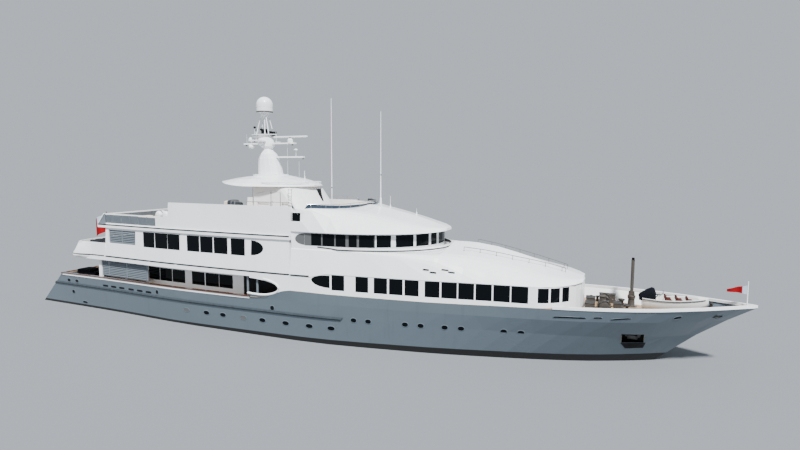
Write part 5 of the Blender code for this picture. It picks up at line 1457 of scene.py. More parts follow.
class YACHT_OT_foredeck_gear(bpy.types.Operator):
    """Fits the chains, capstans, bollards, lockers, vents and tubes of the foredeck"""

    bl_idname = "yacht.foredeck_gear"
    bl_label = "Foredeck gear"

    def execute(self, context):
        gear = Piece("foredeck_gear", "dull")
        for x, y in CAPSTANS:
            gear.turned((x, y, FORE_DECK), CAPSTAN, 24)
        for x, y in BOLLARDS:
            for shift in (-0.22, 0.22):
                gear.turned(top_point("hull", x + shift, y)[0], BOLLARD, 16)
            z = top_point("hull", x, y)[0].z
            gear.box((x - 0.40, x + 0.40), (y - 0.15, y + 0.15), (z - 0.01, z + 0.035))
        for x, y in MUSHROOMS:
            gear.turned((x, y, FORE_DECK), MUSHROOM, 20)
        for x, y, z in DECK_BOXES:
            gear.use("machinery").box(x, y, z)
            lid = [(low - 0.02, high + 0.02) for low, high in (x, y)]
            gear.use("dull").box(*lid, (z[1], z[1] + 0.04))
        gear.use("machinery").turned((20.85, 0.0, FORE_DECK), DECK_VENT, 20)
        gear.pipe(DECK_HOSE, 0.035)
        gear.done(bevel=0.010)
        for word, sign in SIDES:
            chain = Piece(f"anchor_chain_{word}", "machinery")
            end = Vector((22.62, sign * 1.66, 3.16))
            self.add_chain(chain, Vector((21.30, sign * 1.52, 3.62)), end)
            chain.use("dull").turned(end - UP * 0.05, CHAIN_PIPE, 20)
            chain.done()
        return {"FINISHED"}

    def add_chain(self, piece, start, end):
        """Links along a line, each a quarter turn from the last."""
        along = (end - start).normalized()
        count = int((end - start).length / (CHAIN_LINK * 0.68))
        side = along.cross(UP).normalized()
        for i in range(count):
            middle = start.lerp(end, (i + 0.5) / count)
            flat = side if i % 2 else side.cross(along)
            rings = []
            for angle in around(12):
                out = (along * math.cos(angle) * 0.42 + flat * math.sin(angle) * 0.27) * CHAIN_LINK
                spoke = out.normalized()
                lift = spoke.cross(along.cross(flat)).cross(spoke).normalized()
                rings.append([middle + out + (spoke * math.cos(a) + lift * math.sin(a)) * 0.021
                              for a in around(6)])
            piece.loft(rings, loop=True)


# Turned parts of the crane: radius, then height over its foot; the post's head hangs from its top
CRANE_FOOT = ((0.40, 0.0), (0.40, 0.05), (0.26, 0.08), (0.24, 0.12))
CRANE_COLLAR = ((0.22, -0.10), (0.25, -0.08), (0.25, 0.0))
CRANE_TURRET = ((0.24, 0.002), (0.27, 0.02), (0.27, 0.12), (0.20, 0.15), (0.18, 0.17))
CRANE_BOLT = ((0.035, -0.01), (0.035, 0.03), (0.015, 0.035))
CRANE_BOLTS = 8
JIB_RUNGS = 7


class YACHT_OT_crane(bpy.types.Operator):
    """Builds the foredeck crane: turned post, head with its cheeks, and twin-tube boom"""

    bl_idname = "yacht.crane"
    bl_label = "Crane"

    def execute(self, context):
        low, high = node_box("crane_pedestal")
        centre = (low + high) / 2
        axis = (centre.x, centre.y, 0)
        foot = Piece("crane_post", "machinery")
        profile = [(radius, low.z + rise) for radius, rise in CRANE_FOOT]
        profile += [(radius, high.z + rise) for radius, rise in CRANE_COLLAR]
        foot.turned(axis, profile, 28)
        for angle in around(CRANE_BOLTS):
            spot = (centre.x + 0.33 * math.cos(angle), centre.y + 0.33 * math.sin(angle), low.z + 0.05)
            foot.turned(spot, CRANE_BOLT, 6)
        foot.done(replaces=["crane_pedestal"])
        self.add_head(axis)
        self.add_boom()
        return {"FINISHED"}

    def add_head(self, axis):
        low, high = node_box("crane_head")
        head = Piece("crane_turret", "machinery")
        head.turned(axis, [(radius, low.z + rise) for radius, rise in CRANE_TURRET], 24)
        middle = (low.x + high.x) / 2
        cheek = [(low.x + 0.02, low.z + 0.12), (high.x - 0.02, low.z + 0.12), (high.x - 0.05, high.z - 0.08),
                 (middle + 0.08, high.z), (middle - 0.08, high.z), (low.x + 0.05, high.z - 0.08)]
        for _, sign in SIDES:
            head.prism(cheek, sorted((axis[1] + sign * 0.13, axis[1] + sign * 0.19)))
        head.done(body="crane_head", replaces=["crane_head"], bevel=0.008)

    def add_boom(self):
        low, high = node_box("crane_boom")
        x, y, _ = (low + high) / 2
        boom = Piece("crane_jib", "machinery")
        for side in (-1, 1):
            tube = (x + side * 0.030, y + side * 0.080)
            boom.rod((*tube, low.z), (*tube, high.z - 0.16), 0.088, sides=14)
        for z in spaced(low.z + 0.32, high.z - 0.28, JIB_RUNGS)[:-1]:
            boom.box((x - 0.03, x + 0.03), (y - 0.08, y + 0.08), (z, z + 0.04))
        boom.use("black").box((x - 0.09, x + 0.09), (y - 0.12, y + 0.12), (high.z - 0.24, high.z - 0.02))
        boom.turned((x, y - 0.12, high.z - 0.10), ((0.09, 0.0), (0.09, 0.24)), 16, (0, 1, 0))
        boom.use("steel").rod((x + 0.05, y, low.z + 0.35), (x + 0.05, y, high.z - 0.24), 0.016)
        boom.done(body="crane_boom", replaces=["crane_boom"], bevel=0.006)


# Tender, from its stern: place, half-width, keel and gunwale
TENDER_LINES = ((23.32, 0.60, 3.44, 4.29), (23.60, 0.70, 3.41, 4.28), (24.30, 0.79, 3.41, 4.27),
                (25.00, 0.815, 3.41, 4.29), (25.60, 0.79, 3.43, 4.33), (26.20, 0.69, 3.51, 4.39),
                (26.70, 0.50, 3.63, 4.43), (27.05, 0.30, 3.80, 4.47), (27.26, 0.10, 4.00, 4.49))

# Outside of its shell, as shares of the half-width and of the depth from the keel up
TENDER_SIDE = ((0.0, 0.0), (0.42, 0.16), (0.84, 0.36), (0.90, 0.42), (0.98, 0.78), (1.0, 1.0))

# Its well: level of the floor and where it ends forward
TENDER_FLOOR = 3.92
TENDER_WELL_END = 26.3
TENDER_SEATS = (((24.75, 25.10), (-0.50, 0.50)), ((25.40, 25.75), (-0.48, 0.48)),
                ((26.02, 26.36), (-0.36, 0.36)))

# Console, its screen and the outboard: finish, half-width at foot and top, foot, place and top of each end
TENDER_BLOCKS = (
    ("tender", 0.22, 0.18, 3.90, ((24.36, 4.36), (24.62, 4.62))),
    ("glass", 0.20, 0.17, 4.60, ((24.585, 4.80), (24.605, 4.80))),
    ("black", 0.15, 0.12, 4.05, ((23.16, 4.50), (23.45, 4.58))),
)

# Cover: foot level, then the place, top and half-width of each hoop
COVER_FOOT = 4.20
COVER_HOOPS = ((23.12, 4.40, 0.34), (23.35, 4.62, 0.38), (23.65, 4.84, 0.40), (23.90, 4.97, 0.38),
               (24.06, 4.92, 0.36), (24.16, 4.66, 0.37))


class YACHT_OT_tender(bpy.types.Operator):
    """Builds the tender: moulded shell, fender, console, outboard, seats and its canvas cover"""

    bl_idname = "yacht.tender"
    bl_label = "Tender"

    def execute(self, context):
        shell = Piece("tender_shell", "tender")
        rings = []
        for x, half, keel, gunwale in TENDER_LINES:
            rim = min(0.10, half * 0.35)
            floor = TENDER_FLOOR if x < TENDER_WELL_END else gunwale - 0.05
            outer = [(half * share, keel + (gunwale - keel) * rise) for share, rise in TENDER_SIDE]
            inner = [(half - rim * 0.4, gunwale + 0.012), (half - rim, gunwale - 0.01),
                     (half - rim * 1.3, floor + 0.02), (half * 0.4, floor)]
            side = outer + inner
            port = [(x, y, z) for y, z in side]
            rings.append([*port, (x, 0.0, floor), *[(x, -y, z) for y, z in side[:0:-1]]])
        shell.loft(rings)
        shell.use("grey")
        for _, sign in SIDES:
            line = [(x, sign * (half + 0.012), top - 0.05) for x, half, _, top in TENDER_LINES[:-1]]
            shell.pipe(cubic_path(line), 0.035, 10)
        for finish, wide, narrow, foot, ends in TENDER_BLOCKS:
            shell.use(finish).loft([[(x, -wide, foot), (x, wide, foot), (x, narrow, top), (x, -narrow, top)]
                                    for x, top in ends])
        wheel = ((0.15, 0.0), (0.165, 0.012), (0.15, 0.024), (0.13, 0.012))
        shell.use("steel").turned((24.30, 0.0, 4.44), wheel, 20, (-0.8, 0, 0.6))
        shell.done(replaces=["tender"])
        self.add_seats()
        self.add_cover()
        return {"FINISHED"}

    def add_seats(self):
        seats = Piece("tender_seat_pads", "leather")
        for x, y in TENDER_SEATS:
            seats.cushion(x, y, (TENDER_FLOOR + 0.02, TENDER_FLOOR + 0.40), 0.05)
            seats.cushion((x[0] - 0.07, x[0] + 0.03), (y[0] * 0.96, y[1] * 0.96),
                          (TENDER_FLOOR + 0.34, TENDER_FLOOR + 0.60), 0.04)
        seats.done()

    def add_cover(self):
        """The canvas laid over the outboard and console: an arch that falls towards the stern."""
        rows = []
        for x, top, half in COVER_HOOPS:
            row = []
            for angle in spaced(0, math.pi, 12):
                arch = math.sin(angle)
                sag = 0.03 * math.cos(6 * angle) * arch
                row.append((x, -half * math.cos(angle) * (1 + 0.10 * arch),
                            COVER_FOOT + (top - COVER_FOOT + sag) * max(arch, 0.0) ** 0.65))
            rows.append(row)
        cloth_sheet("tender_cover", "cover", rows)


# Flags: piece, staff, head of the hoist, line down the hoist, line of the fly
FLAGS = (
    ("ensign", "ensign_staff", (-26.04, 0.0, 8.22), (1.10, 0.0, -2.20), (-0.985, -0.17, 0.0)),
    ("bow_pennant", "jackstaff", (29.36, 0.0, 5.52), (0.0, 0.0, -1.0), (-0.985, -0.10, 0.02)),
)

# Their cloth: hoist, fly, depth of the waves, canton along and down it, share of the hoist at the end, droop
FLAG_CLOTHS = (
    (1.75, 1.50, 0.11, (0.82, 0.5), 1.0, 0.55),
    (0.55, 1.15, 0.05, (0.25, 1.0), 0.30, 0.12),
)
FLAG_WAVES = 1.6
FLAG_COLUMNS = 24
FLAG_ROWS = 10


class YACHT_OT_flags(bpy.types.Operator):
    """Flies the red ensign at the stern staff and a small pennant at the jackstaff"""

    bl_idname = "yacht.flags"
    bl_label = "Flags"

    def execute(self, context):
        for (name, staff, *lines), cloth_sizes in zip(FLAGS, FLAG_CLOTHS):
            self.fly(name, staff, *(Vector(line) for line in lines), *cloth_sizes)
        return {"FINISHED"}

    def fly(self, name, staff, head, down, along, hoist, span, wave, canton, taper, droop):
        """A flag with a wave in it: rows down the hoist, columns along the fly."""
        down, along = down.normalized(), along.normalized()
        out = along.cross(down).normalized()
        columns = [(share, 2 * math.pi * FLAG_WAVES * share) for share in spaced(0, 1, FLAG_COLUMNS)]
        places = [0.0]
        for _, angle in columns:
            slope = wave * 4.5 * math.cos(angle)
            places.append(places[-1] + span / FLAG_COLUMNS * math.cos(math.atan(slope)))
        rows = []
        for level in spaced(0, 1, FLAG_ROWS):
            row = []
            for (share, angle), place in zip(columns, places):
                swing = wave * math.sin(angle) * min(1.0, share * 4)
                fall = (level - 0.5) * (1 - (1 - taper) * share) + 0.5
                hang = down.lerp(-UP, share) * hoist * fall
                row.append(head + along * place + hang + out * swing - UP * droop * share * share)
            rows.append(row)
        cloth_sheet(name, "red", rows, ("pale_blue", *canton))


# Side view of a deck chair: leg and arm, seat and back tubes, and the sling; along and up
CHAIR_LEGS = ((0.24, 0), (0.24, 0.62), (-0.24, 0.62), (-0.30, 0))
CHAIR_BACK = ((0.22, 0.40), (-0.20, 0.38), (-0.34, 0.86))
CHAIR_SLING = ((0.24, 0.40), (0.10, 0.42), (-0.10, 0.41), (-0.20, 0.40), (-0.27, 0.60), (-0.34, 0.86))
TABLE_FOOT = ((0.30, 0.0), (0.30, 0.03), (0.08, 0.06), (0.07, 0.68), (0.25, 0.70))


def add_chair(piece, x, y, z, turn):
    """A deck armchair: steel frame and slung seat, turned about the vertical."""
    spin = Matrix.Translation((x, y, z)) @ Matrix.Rotation(turn, 4, "Z")
    piece.use("steel")
    for side in (-0.26, 0.26):
        for line, radius in ((CHAIR_LEGS, 0.018), (CHAIR_BACK, 0.016)):
            piece.pipe([spin @ Vector((a, side, b)) for a, b in line], radius)
    rings = []
    for a, b in CHAIR_SLING:
        ring = ((a, -0.25, b), (a, 0.25, b), (a, 0.25, b + 0.05), (a, -0.25, b + 0.05))
        rings.append([spin @ Vector(p) for p in ring])
    piece.use("cushion").loft(rings)


def add_table(piece, x, y, z):
    """A teak table with a rounded top on a turned foot."""
    centre = ((x[0] + x[1]) / 2, (y[0] + y[1]) / 2)
    shape = oval((x[1] - x[0]) / 2, (y[1] - y[0]) / 2, 32, 0.45)
    piece.use("teak").plan([(centre[0] + a, centre[1] + b) for a, b in shape], (z + 0.70, z + 0.75))
    piece.use("steel").turned((*centre, z), TABLE_FOOT, 20)


def add_cushions(piece, x, y, z, count):
    """A row of cushions side by side across the hull."""
    width = (y[1] - y[0]) / count
    for i in range(count):
        piece.cushion(x, (y[0] + width * i + 0.01, y[0] + width * (i + 1) - 0.01), z, 0.05)


# Cushions of the aft deck seat; sofas beside it, coloured dark as painted shade under the deck above: their
# inner and outer sides
AFT_SEAT_CUSHIONS = 5
SHADED_SOFA = (2.35, 3.65)


class YACHT_OT_aft_deck_furniture(bpy.types.Operator):
    """Sets the cushioned seat, table and chairs on the main aft deck"""

    bl_idname = "yacht.aft_deck_furniture"
    bl_label = "Aft deck furniture"

    def execute(self, context):
        low, high = node_box("aft_deck_seat")
        base = Piece("aft_seat_base", "white")
        base.prism(((low.x, low.z), (high.x - 0.06, low.z), (high.x - 0.03, low.z + 0.30),
                    (low.x + 0.20, low.z + 0.32), (low.x + 0.10, high.z - 0.06), (low.x, high.z - 0.06)),
                   (low.y, high.y))
        base.done(replaces=["aft_deck_seat"], bevel=0.02)
        pads = Piece("aft_seat_cushions", "cushion")
        for x, z in (((low.x + 0.26, high.x), (low.z + 0.31, low.z + 0.47)),
                     ((low.x + 0.06, low.x + 0.27), (low.z + 0.40, high.z))):
            add_cushions(pads, x, (low.y, high.y), z, AFT_SEAT_CUSHIONS)
        pads.done(replaces=["aft_deck_seat"])
        # Sofas on either side in the dark cover finish, which paints the shade under the upper deck
        covers = Piece("aft_deck_shaded_sofas", "cover")
        for _, sign in SIDES:
            across = side_span(sign, *SHADED_SOFA)
            covers.cushion((-25.95, -24.20), across, (MAIN_DECK, MAIN_DECK + 1.30), 0.14)
            covers.cushion((-24.30, -23.55), across, (MAIN_DECK, MAIN_DECK + 1.05), 0.12)
        covers.done()
        table = Piece("aft_deck_tables", "teak")
        for y in (-1.1, 1.1):
            add_table(table, (-23.35, -22.35), (y - 0.75, y + 0.75), MAIN_DECK)
        table.done()
        chairs = Piece("aft_deck_chairs", "steel")
        for y in (-1.5, -0.7, 0.7, 1.5):
            add_chair(chairs, -21.95, y, MAIN_DECK, math.pi)
        chairs.done()
        return {"FINISHED"}


# Sunpads: piece, deck, after and forward edges, middles across
SUNPADS = (
    ("bridge_deck_sunpads", BRIDGE_DECK, (-20.10, -18.30), (-3.0, -1.0, 1.0, 3.0)),
    ("sundeck_sunpads", SUNDECK, (-12.60, -10.80), (-2.2, 0.0, 2.2)),
)

# Cushions of the upper aft deck, on its sofa and, in the last row, tall and dark against the stern bulwark:
# edges along, half-length across, foot and top over the deck, count
UPPER_CUSHIONS = (
    ((-24.00, -23.35), 2.2, 0.29, 0.46, 5),
    ((-24.22, -23.99), 2.2, 0.34, 0.84, 5),
    ((-24.98, -24.80), 3.36, 0.32, 1.12, 8),
)

# Loungers of the sundeck: place along, inner and outer sides; pads by finish, ends, foot, top and crown;
# line of the legs, along and up
LOUNGER_X = -8.35
LOUNGER = (2.5, 3.5)
LOUNGER_PADS = (
    ("cushion", 0.0, 1.0, 0.30, 0.62, 0.10),
    ("cushion", 0.18, 0.62, 0.60, 1.30, 0.12),
    ("cushion", 0.55, 0.98, 0.60, 1.12, 0.12),
    ("pale_cushion", -0.16, 0.16, 0.70, 1.22, 0.08),
)
LOUNGER_LEGS = ((0.08, 0), (0.08, 0.31), (0.92, 0.31), (0.92, 0))


class YACHT_OT_upper_furniture(bpy.types.Operator):
    """Sets sunpads, sofas, tables and covered loungers on the upper decks"""

    bl_idname = "yacht.upper_furniture"
    bl_label = "Upper deck furniture"

    def execute(self, context):
        for name, deck, (aft, fwd), middles in SUNPADS:
            base = Piece(f"{name}_base", "white")
            pads = Piece(name, "pale_cushion")
            head = (aft + 0.08, aft + 0.48)
            for y in middles:
                base.box((aft + 0.06, fwd - 0.06), (y - 0.80, y + 0.80), (deck, deck + 0.26))
                pads.cushion((aft, fwd), (y - 0.88, y + 0.88), (deck + 0.25, deck + 0.42), 0.05, 0.03)
                pads.cushion(head, (y - 0.70, y + 0.70), (deck + 0.40, deck + 0.54), 0.05)
            base.done(bevel=0.02)
            pads.done()
        self.add_upper_aft_deck()
        self.add_sundeck_covers()
        return {"FINISHED"}

    def add_upper_aft_deck(self):
        base = Piece("upper_aft_sofa_base", "white")
        base.box((-24.20, -23.40), (-2.2, 2.2), (UPPER_DECK, UPPER_DECK + 0.30))
        base.done(bevel=0.02)
        pads = Piece("upper_aft_sofa_cushions", "cushion")
        for x, half, foot, top, count in UPPER_CUSHIONS:
            add_cushions(pads, x, (-half, half), (UPPER_DECK + foot, UPPER_DECK + top), count)
        pads.done()
        tables = Piece("upper_aft_table", "teak")
        add_table(tables, (-21.2, -18.4), (-0.8, 0.8), UPPER_DECK)
        tables.done()
        chairs = Piece("upper_aft_chairs", "steel")
        for x in (-20.8, -20.1, -19.4, -18.8):
            for sign in (-1, 1):
                add_chair(chairs, x, sign * 1.25, UPPER_DECK, -sign * math.pi / 2)
        chairs.done()

    def add_sundeck_covers(self):
        """A lounger under a dark cover on either side, with a pale headrest."""
        x = LOUNGER_X
        covers = Piece("sundeck_loungers", "cushion")
        legs = Piece("sundeck_lounger_frames", "steel")
        for _, sign in SIDES:
            across = side_span(sign, *LOUNGER)
            for finish, aft, fwd, foot, top, crown in LOUNGER_PADS:
                levels = (SUNDECK + foot, SUNDECK + top)
                covers.use(finish).cushion((x + aft, x + fwd), across, levels, crown)
            for y in (2.6, 3.4):
                legs.pipe([(x + along, sign * y, SUNDECK + rise) for along, rise in LOUNGER_LEGS], 0.02)
        covers.done()
        legs.done()


# Posts in the side openings: places along, and foot and head
EYE_POSTS = (-4.75, -3.85)
EYE_POST_Z = (2.55, 4.56)

# Panes set into the walls: node, finish, after end, end of the straight side, tip of the nose, sill and
# head, and how far inside the outer face
PANES = (
    ("upper_deck_plating", "glass", -15.85, -3.05, None, (6.18, 7.38), 0.03),
    ("main_deck_forward_plating", "glass", 0.95, 16.3, 19.65, (4.15, 5.13), 0.03),
    ("wheelhouse", "glass", 0.36, 2.6, 9.2, (7.22, 8.10), 0.03),
    ("wheelhouse", "grey", -0.44, 0.34, None, (7.22, 8.10), 0.03),
    ("main_deck_house", "glass", -16.6, -7.1, None, (3.15, 4.16), 0.02),
    ("main_deck_house", "black", -5.95, -2.3, None, (2.20, 4.50), -0.012),
    ("wheelhouse_brow", "white", 0.03, 0.33, None, (8.93, 9.60), -0.010),
    ("wheelhouse_brow", "glass", -0.72, 0.03, None, (8.95, 9.58), -0.012),
)
PANE_THICKNESS = 0.015

# Moulding under the aft cap rail: its ends and height
MOULDING = (-26.9, -4.45)
MOULDING_HEIGHT = 0.15


def pane_rays(node, aft, bend, tip, z):
    """Rays that meet a wall from outside: starts and directions down the port side and round the nose."""
    steps = max(2, int((bend - aft) / 0.75))
    rays = [((x, OUTSIDE), Vector((0, -1))) for x in spaced(aft, bend, steps)]
    if tip is not None:
        half = ray(node, (bend, OUTSIDE, z), (0, -1, 0))[0].y
        for turn in range(5, 91, 5):
            angle = math.radians(turn)
            out = Vector((math.sin(angle) * half, math.cos(angle) * (tip - bend))).normalized()
            spot = Vector((bend + (tip - bend) * math.sin(angle), half * math.cos(angle)))
            rays.append((tuple(spot + out * 2.5), -out))
    return rays


def add_pane(piece, node, finish, aft, bend, tip, z, depth):
    """A pane that follows a wall at a depth inside its outer face, on both sides."""
    port = []
    for start, inward in pane_rays(node, aft, bend, tip, z[0] - 0.04):
        inside = Vector((*inward, 0))
        low = ray(node, (*start, z[0] - 0.04), inside)[0]
        if low is None:
            raise RuntimeError(f"{node} has no wall seen from {start}")
        high = ray(node, (*start, z[1] + 0.04), inside)[0] or low
        outer, inner = inside * depth, inside * (depth + PANE_THICKNESS)
        port.append([(*(point + shift).xy, level) for point, shift, level in
                     ((low, outer, z[0] - 0.01), (low, inner, z[0] - 0.01),
                      (high, inner, z[1] + 0.01), (high, outer, z[1] + 0.01))])
    starboard = [[(x, -y, level) for x, y, level in ring] for ring in port]
    piece.use(finish)
    if tip is None:
        piece.loft(port)
        piece.loft(starboard)
    else:
        piece.loft(port[:-1] + starboard[::-1])


def nose_point(node, x, z, bend, tip):
    """Port side of a wall that rounds into a nose: outer point and direction outward."""
    if x <= bend:
        return side_point(node, x, z, 1)
    half = side_point(node, bend, z, 1)[0].y
    angle = math.asin(min((x - bend) / (tip - bend), 1.0))
    out = Vector((math.sin(angle) * half, math.cos(angle) * (tip - bend), 0)).normalized()
    point = ray(node, Vector((x, half * math.cos(angle), z)) + out * 2.5, -out)[0]
    if point is None:
        raise RuntimeError(f"{node} has no wall at {x}, {z}")
    return point, out


def add_band(piece, finish, node, x, z, bend, tip, lift):
    """A band laid on a nosed wall between two places and two heights, on both sides."""
    steps = max(2, math.ceil((x[1] - x[0]) / 0.3))
    places = spaced(*x, steps)
    if x[0] >= bend:
        turns = [math.asin((edge - bend) / (tip - bend)) for edge in x]
        places = [bend + (tip - bend) * math.sin(turn) for turn in spaced(*turns, steps)]
    rings = []
    for place in places:
        point, out = nose_point(node, place, z[0] - 0.05, bend, tip)
        near, far = (point + out * share for share in lift)
        rings.append([(*near.xy, z[0]), (*far.xy, z[0]), (*far.xy, z[1]), (*near.xy, z[1])])
    piece.use(finish).loft(rings)
    piece.loft([[(a, -b, c) for a, b, c in ring] for ring in rings])


# Wheelhouse windows: after and forward edges along the wall, sills and heads of the panes and of the bands
# that carry them, and the bands by finish; the bend and the tip of the wall's nose
WHEELHOUSE_PANES = ((0.92, 1.71), (1.83, 2.75), (2.87, 3.62), (3.86, 4.44), (4.60, 5.62), (5.78, 6.69),
                    (6.98, 7.99), (8.13, 8.76), (8.86, 9.08), (9.145, 9.2))
WHEELHOUSE_PANE_Z = (7.23, 8.10)
WHEELHOUSE_BAND_Z = (7.20, 8.115)
# The grey bands are painted shade of the brow on the after mullions; forward of them the band is white
WHEELHOUSE_BANDS = (("grey", 0.36, 2.6), ("grey", 2.6, 5.69), ("plastic", 5.69, 9.2))
WHEELHOUSE_NOSE = (2.6, 9.2)

# Ledge round the wheelhouse's front: start and tip; its outside, its inside in painted shade and its line of
# painted shadow by finish, how far out, thickness, foot and top; the line's run aft along the wall, along
# and up
LEDGE_START = 3.0
LEDGE_TIP = 9.8
# The inside strip takes the brown-grey machinery finish as painted shade; the dark line is painted shadow
LEDGE_STRIPS = (("white", 0.0, 0.04, 6.86, 7.17), ("machinery", -0.032, 0.024, 6.86, 7.17),
                ("shadow", 0.026, 0.014, 6.94, 7.03))
LEDGE_LINE = ((1.40, 7.12), (2.0, 7.08), (2.5, 7.04))


class YACHT_OT_wheelhouse_trim(bpy.types.Operator):
    """Glazes the wheelhouse, with painted shade of the brow on its after mullions, and sets the low ledge
    round its front, with painted shade on its inside and a painted shadow line at its foot
    """

    bl_idname = "yacht.wheelhouse_trim"
    bl_label = "Wheelhouse trim"

    def execute(self, context):
        windows = Piece("wheelhouse_windows", "grey")
        nose = WHEELHOUSE_NOSE
        for finish, *ends in WHEELHOUSE_BANDS:
            add_band(windows, finish, "wheelhouse", ends, WHEELHOUSE_BAND_Z, *nose, (-0.01, 0.006))
        for pane in WHEELHOUSE_PANES:
            add_band(windows, "glass", "wheelhouse", pane, WHEELHOUSE_PANE_Z, *nose, (0.0, 0.016))
        windows.done()
        ledge = Piece("wheelhouse_ledge", "white")
        for finish, grow, width, low, high in LEDGE_STRIPS:
            ledge.use(finish).strip(self.ledge_path(grow, (low + high) / 2), width, high - low)
        start = self.ledge_path(grow, (low + high) / 2)[0]
        for _, sign in SIDES:
            places = [side_point("wheelhouse", x, z, sign) for x, z in LEDGE_LINE]
            line = [point + normal * 0.004 for point, normal in places]
            ledge.strip([*line, Vector((start.x, start.y * sign, start.z))], 0.014, 0.09)
        ledge.done()
        return {"FINISHED"}

    def ledge_path(self, grow, z):
        """Points of the ledge from its port end round the front to its starboard end."""
        bend = WHEELHOUSE_NOSE[0]
        half = side_point("wheelhouse", bend, 7.15, 1)[0].y + 0.03 + grow
        reach = LEDGE_TIP - bend
        first = math.asin((LEDGE_START - bend) / reach)
        return mirrored([Vector((bend + (reach + grow) * math.sin(angle), half * math.cos(angle), z))
                         for angle in spaced(first, math.pi / 2, 24)])


# Fairing round the upper stern: centre of its fan, turns in degrees, reach of its lip, and its heights
FAIRING_CENTRE = (-20.5, 0.0)
FAIRING_TURNS = (96, 264)
FAIRING_STEPS = 28
FAIRING_LIP = 0.38
FAIRING_LEVELS = (6.12, 4.94, 4.80, 4.60)

# Where the fairing leaves the bulwark on its way aft, and over what length
FAIRING_START = -22.6
FAIRING_BLEND = 1.8


class YACHT_OT_stern_fairing(bpy.types.Operator):
    """Slopes the upper stern's bulwark out to its lip, with the dark line along it"""

    bl_idname = "yacht.stern_fairing"
    bl_label = "Stern fairing"

    def execute(self, context):
        fairing = Piece("upper_stern_fairing", "white")
        rings, line = [], []
        top, lip_z, under, foot = FAIRING_LEVELS
        for turn in spaced(*FAIRING_TURNS, FAIRING_STEPS):
            angle = math.radians(turn)
            out = Vector((math.cos(angle), math.sin(angle), 0))
            wall = self.reach("upper_stern_bulwark", out, top - 0.1)
            slab = self.reach("upper_deck_slab", out, foot + 0.1)
            share = min(max((FAIRING_START - wall.x) / FAIRING_BLEND, 0.0), 1.0)
            share = share * share * (3 - 2 * share)
            lip = wall.lerp(slab + out * FAIRING_LIP, share) + out * 0.006
            base = wall.lerp(slab, share)
            section = ((wall - out * 0.02, top), (wall + out * 0.006, top), (lip, lip_z),
                       (lip - out * 0.05 * share, under), (base - out * 0.02, foot))
            rings.append([(*point.xy, z) for point, z in section])
            spot = lip.lerp(wall, 0.04) + out * 0.004
            line.append(Vector((*spot.xy, lip_z + 0.035)))
        fairing.loft(rings)
        fairing.use("shadow").strip(line, 0.014, context.scene.yacht_sizes.shadow_line_height)
        fairing.done()
        return {"FINISHED"}

    def reach(self, node, out, z):
        """The node's outer face along a spoke of the fan."""
        point = ray(node, Vector((*FAIRING_CENTRE, z)) + out * 9, -out)[0]
        if point is None:
            raise RuntimeError(f"{node} has no face along {tuple(out)}")
        return Vector((*point.xy, 0))


# Eye openings of the main deck: tip along and up, after end, sill and head, turns of the rim in degrees
EYE_TIP = (-1.75, 3.86)
EYE_FAR = -3.6
EYE_LEVELS = (3.24, 4.50)
EYE_TURNS = (-88, 75)

# Where the rim starts on the bulwark, along and up
EYE_START = ((-4.6, 3.29), (-4.1, 3.25))

# Heights on the hull's side that its outer face and its slope are taken from
EYE_LOW = 2.45
EYE_SLOPE_FROM = 1.65

# Rows of windows whose dark glass laps over the wall: node, after and forward end, heights under the sills
# and through the row, bend and tip of the nose, lap along and up
FLAT = (90, 91)
LAPPED_WINDOWS = (
    ("upper_deck_plating", (-16.0, -2.9), (6.12, 6.80), FLAT, (0.045, 0.03)),
    ("main_deck_forward_plating", (1.3, 16.6), (4.10, 4.65), FLAT, (0.05, 0.05)),
    ("main_deck_house", (-16.7, -7.0), (3.08, 3.65), FLAT, (0.09, 0.03)),
)


def is_open(node, x, z, wall):
    """Whether the wall, whose outer face is this far out, is cut through at a place."""
    point = ray(node, (x, OUTSIDE, z), (0, -1, 0))[0]
    return point is None or point.y < wall - 0.10


def open_levels(node, x, sill, z):
    """Sill and head of the opening at a place, found from a height inside it."""
    wall = side_point(node, x, sill, 1)[0].y
    levels = []
    for way in (-0.02, 0.02):
        height = z
        while is_open(node, x, height, wall) and abs(height - z) < 0.9:
            height += way
        levels.append(height)
    return levels


def window_spans(node, x, z):
    """Edges along the wall and up it of each square window in a row."""
    step = 0.02
    sill, z = z
    spans, start = [], None
    for i in range(int((x[1] - x[0]) / step) + 1):
        place = x[0] + step * i
        cut = is_open(node, place, z, side_point(node, place, sill, 1)[0].y)
        if cut and start is None:
            start = place
        if not cut and start is not None:
            thirds = (start + 0.06, (start + place) / 2, place - 0.06)
            levels = [open_levels(node, at, sill, z) for at in thirds]
            tall = [high - low for low, high in levels]
            if max(tall) - min(tall) < 0.12:
                spans.append(((start, place), levels[1]))
            start = None
    return spans


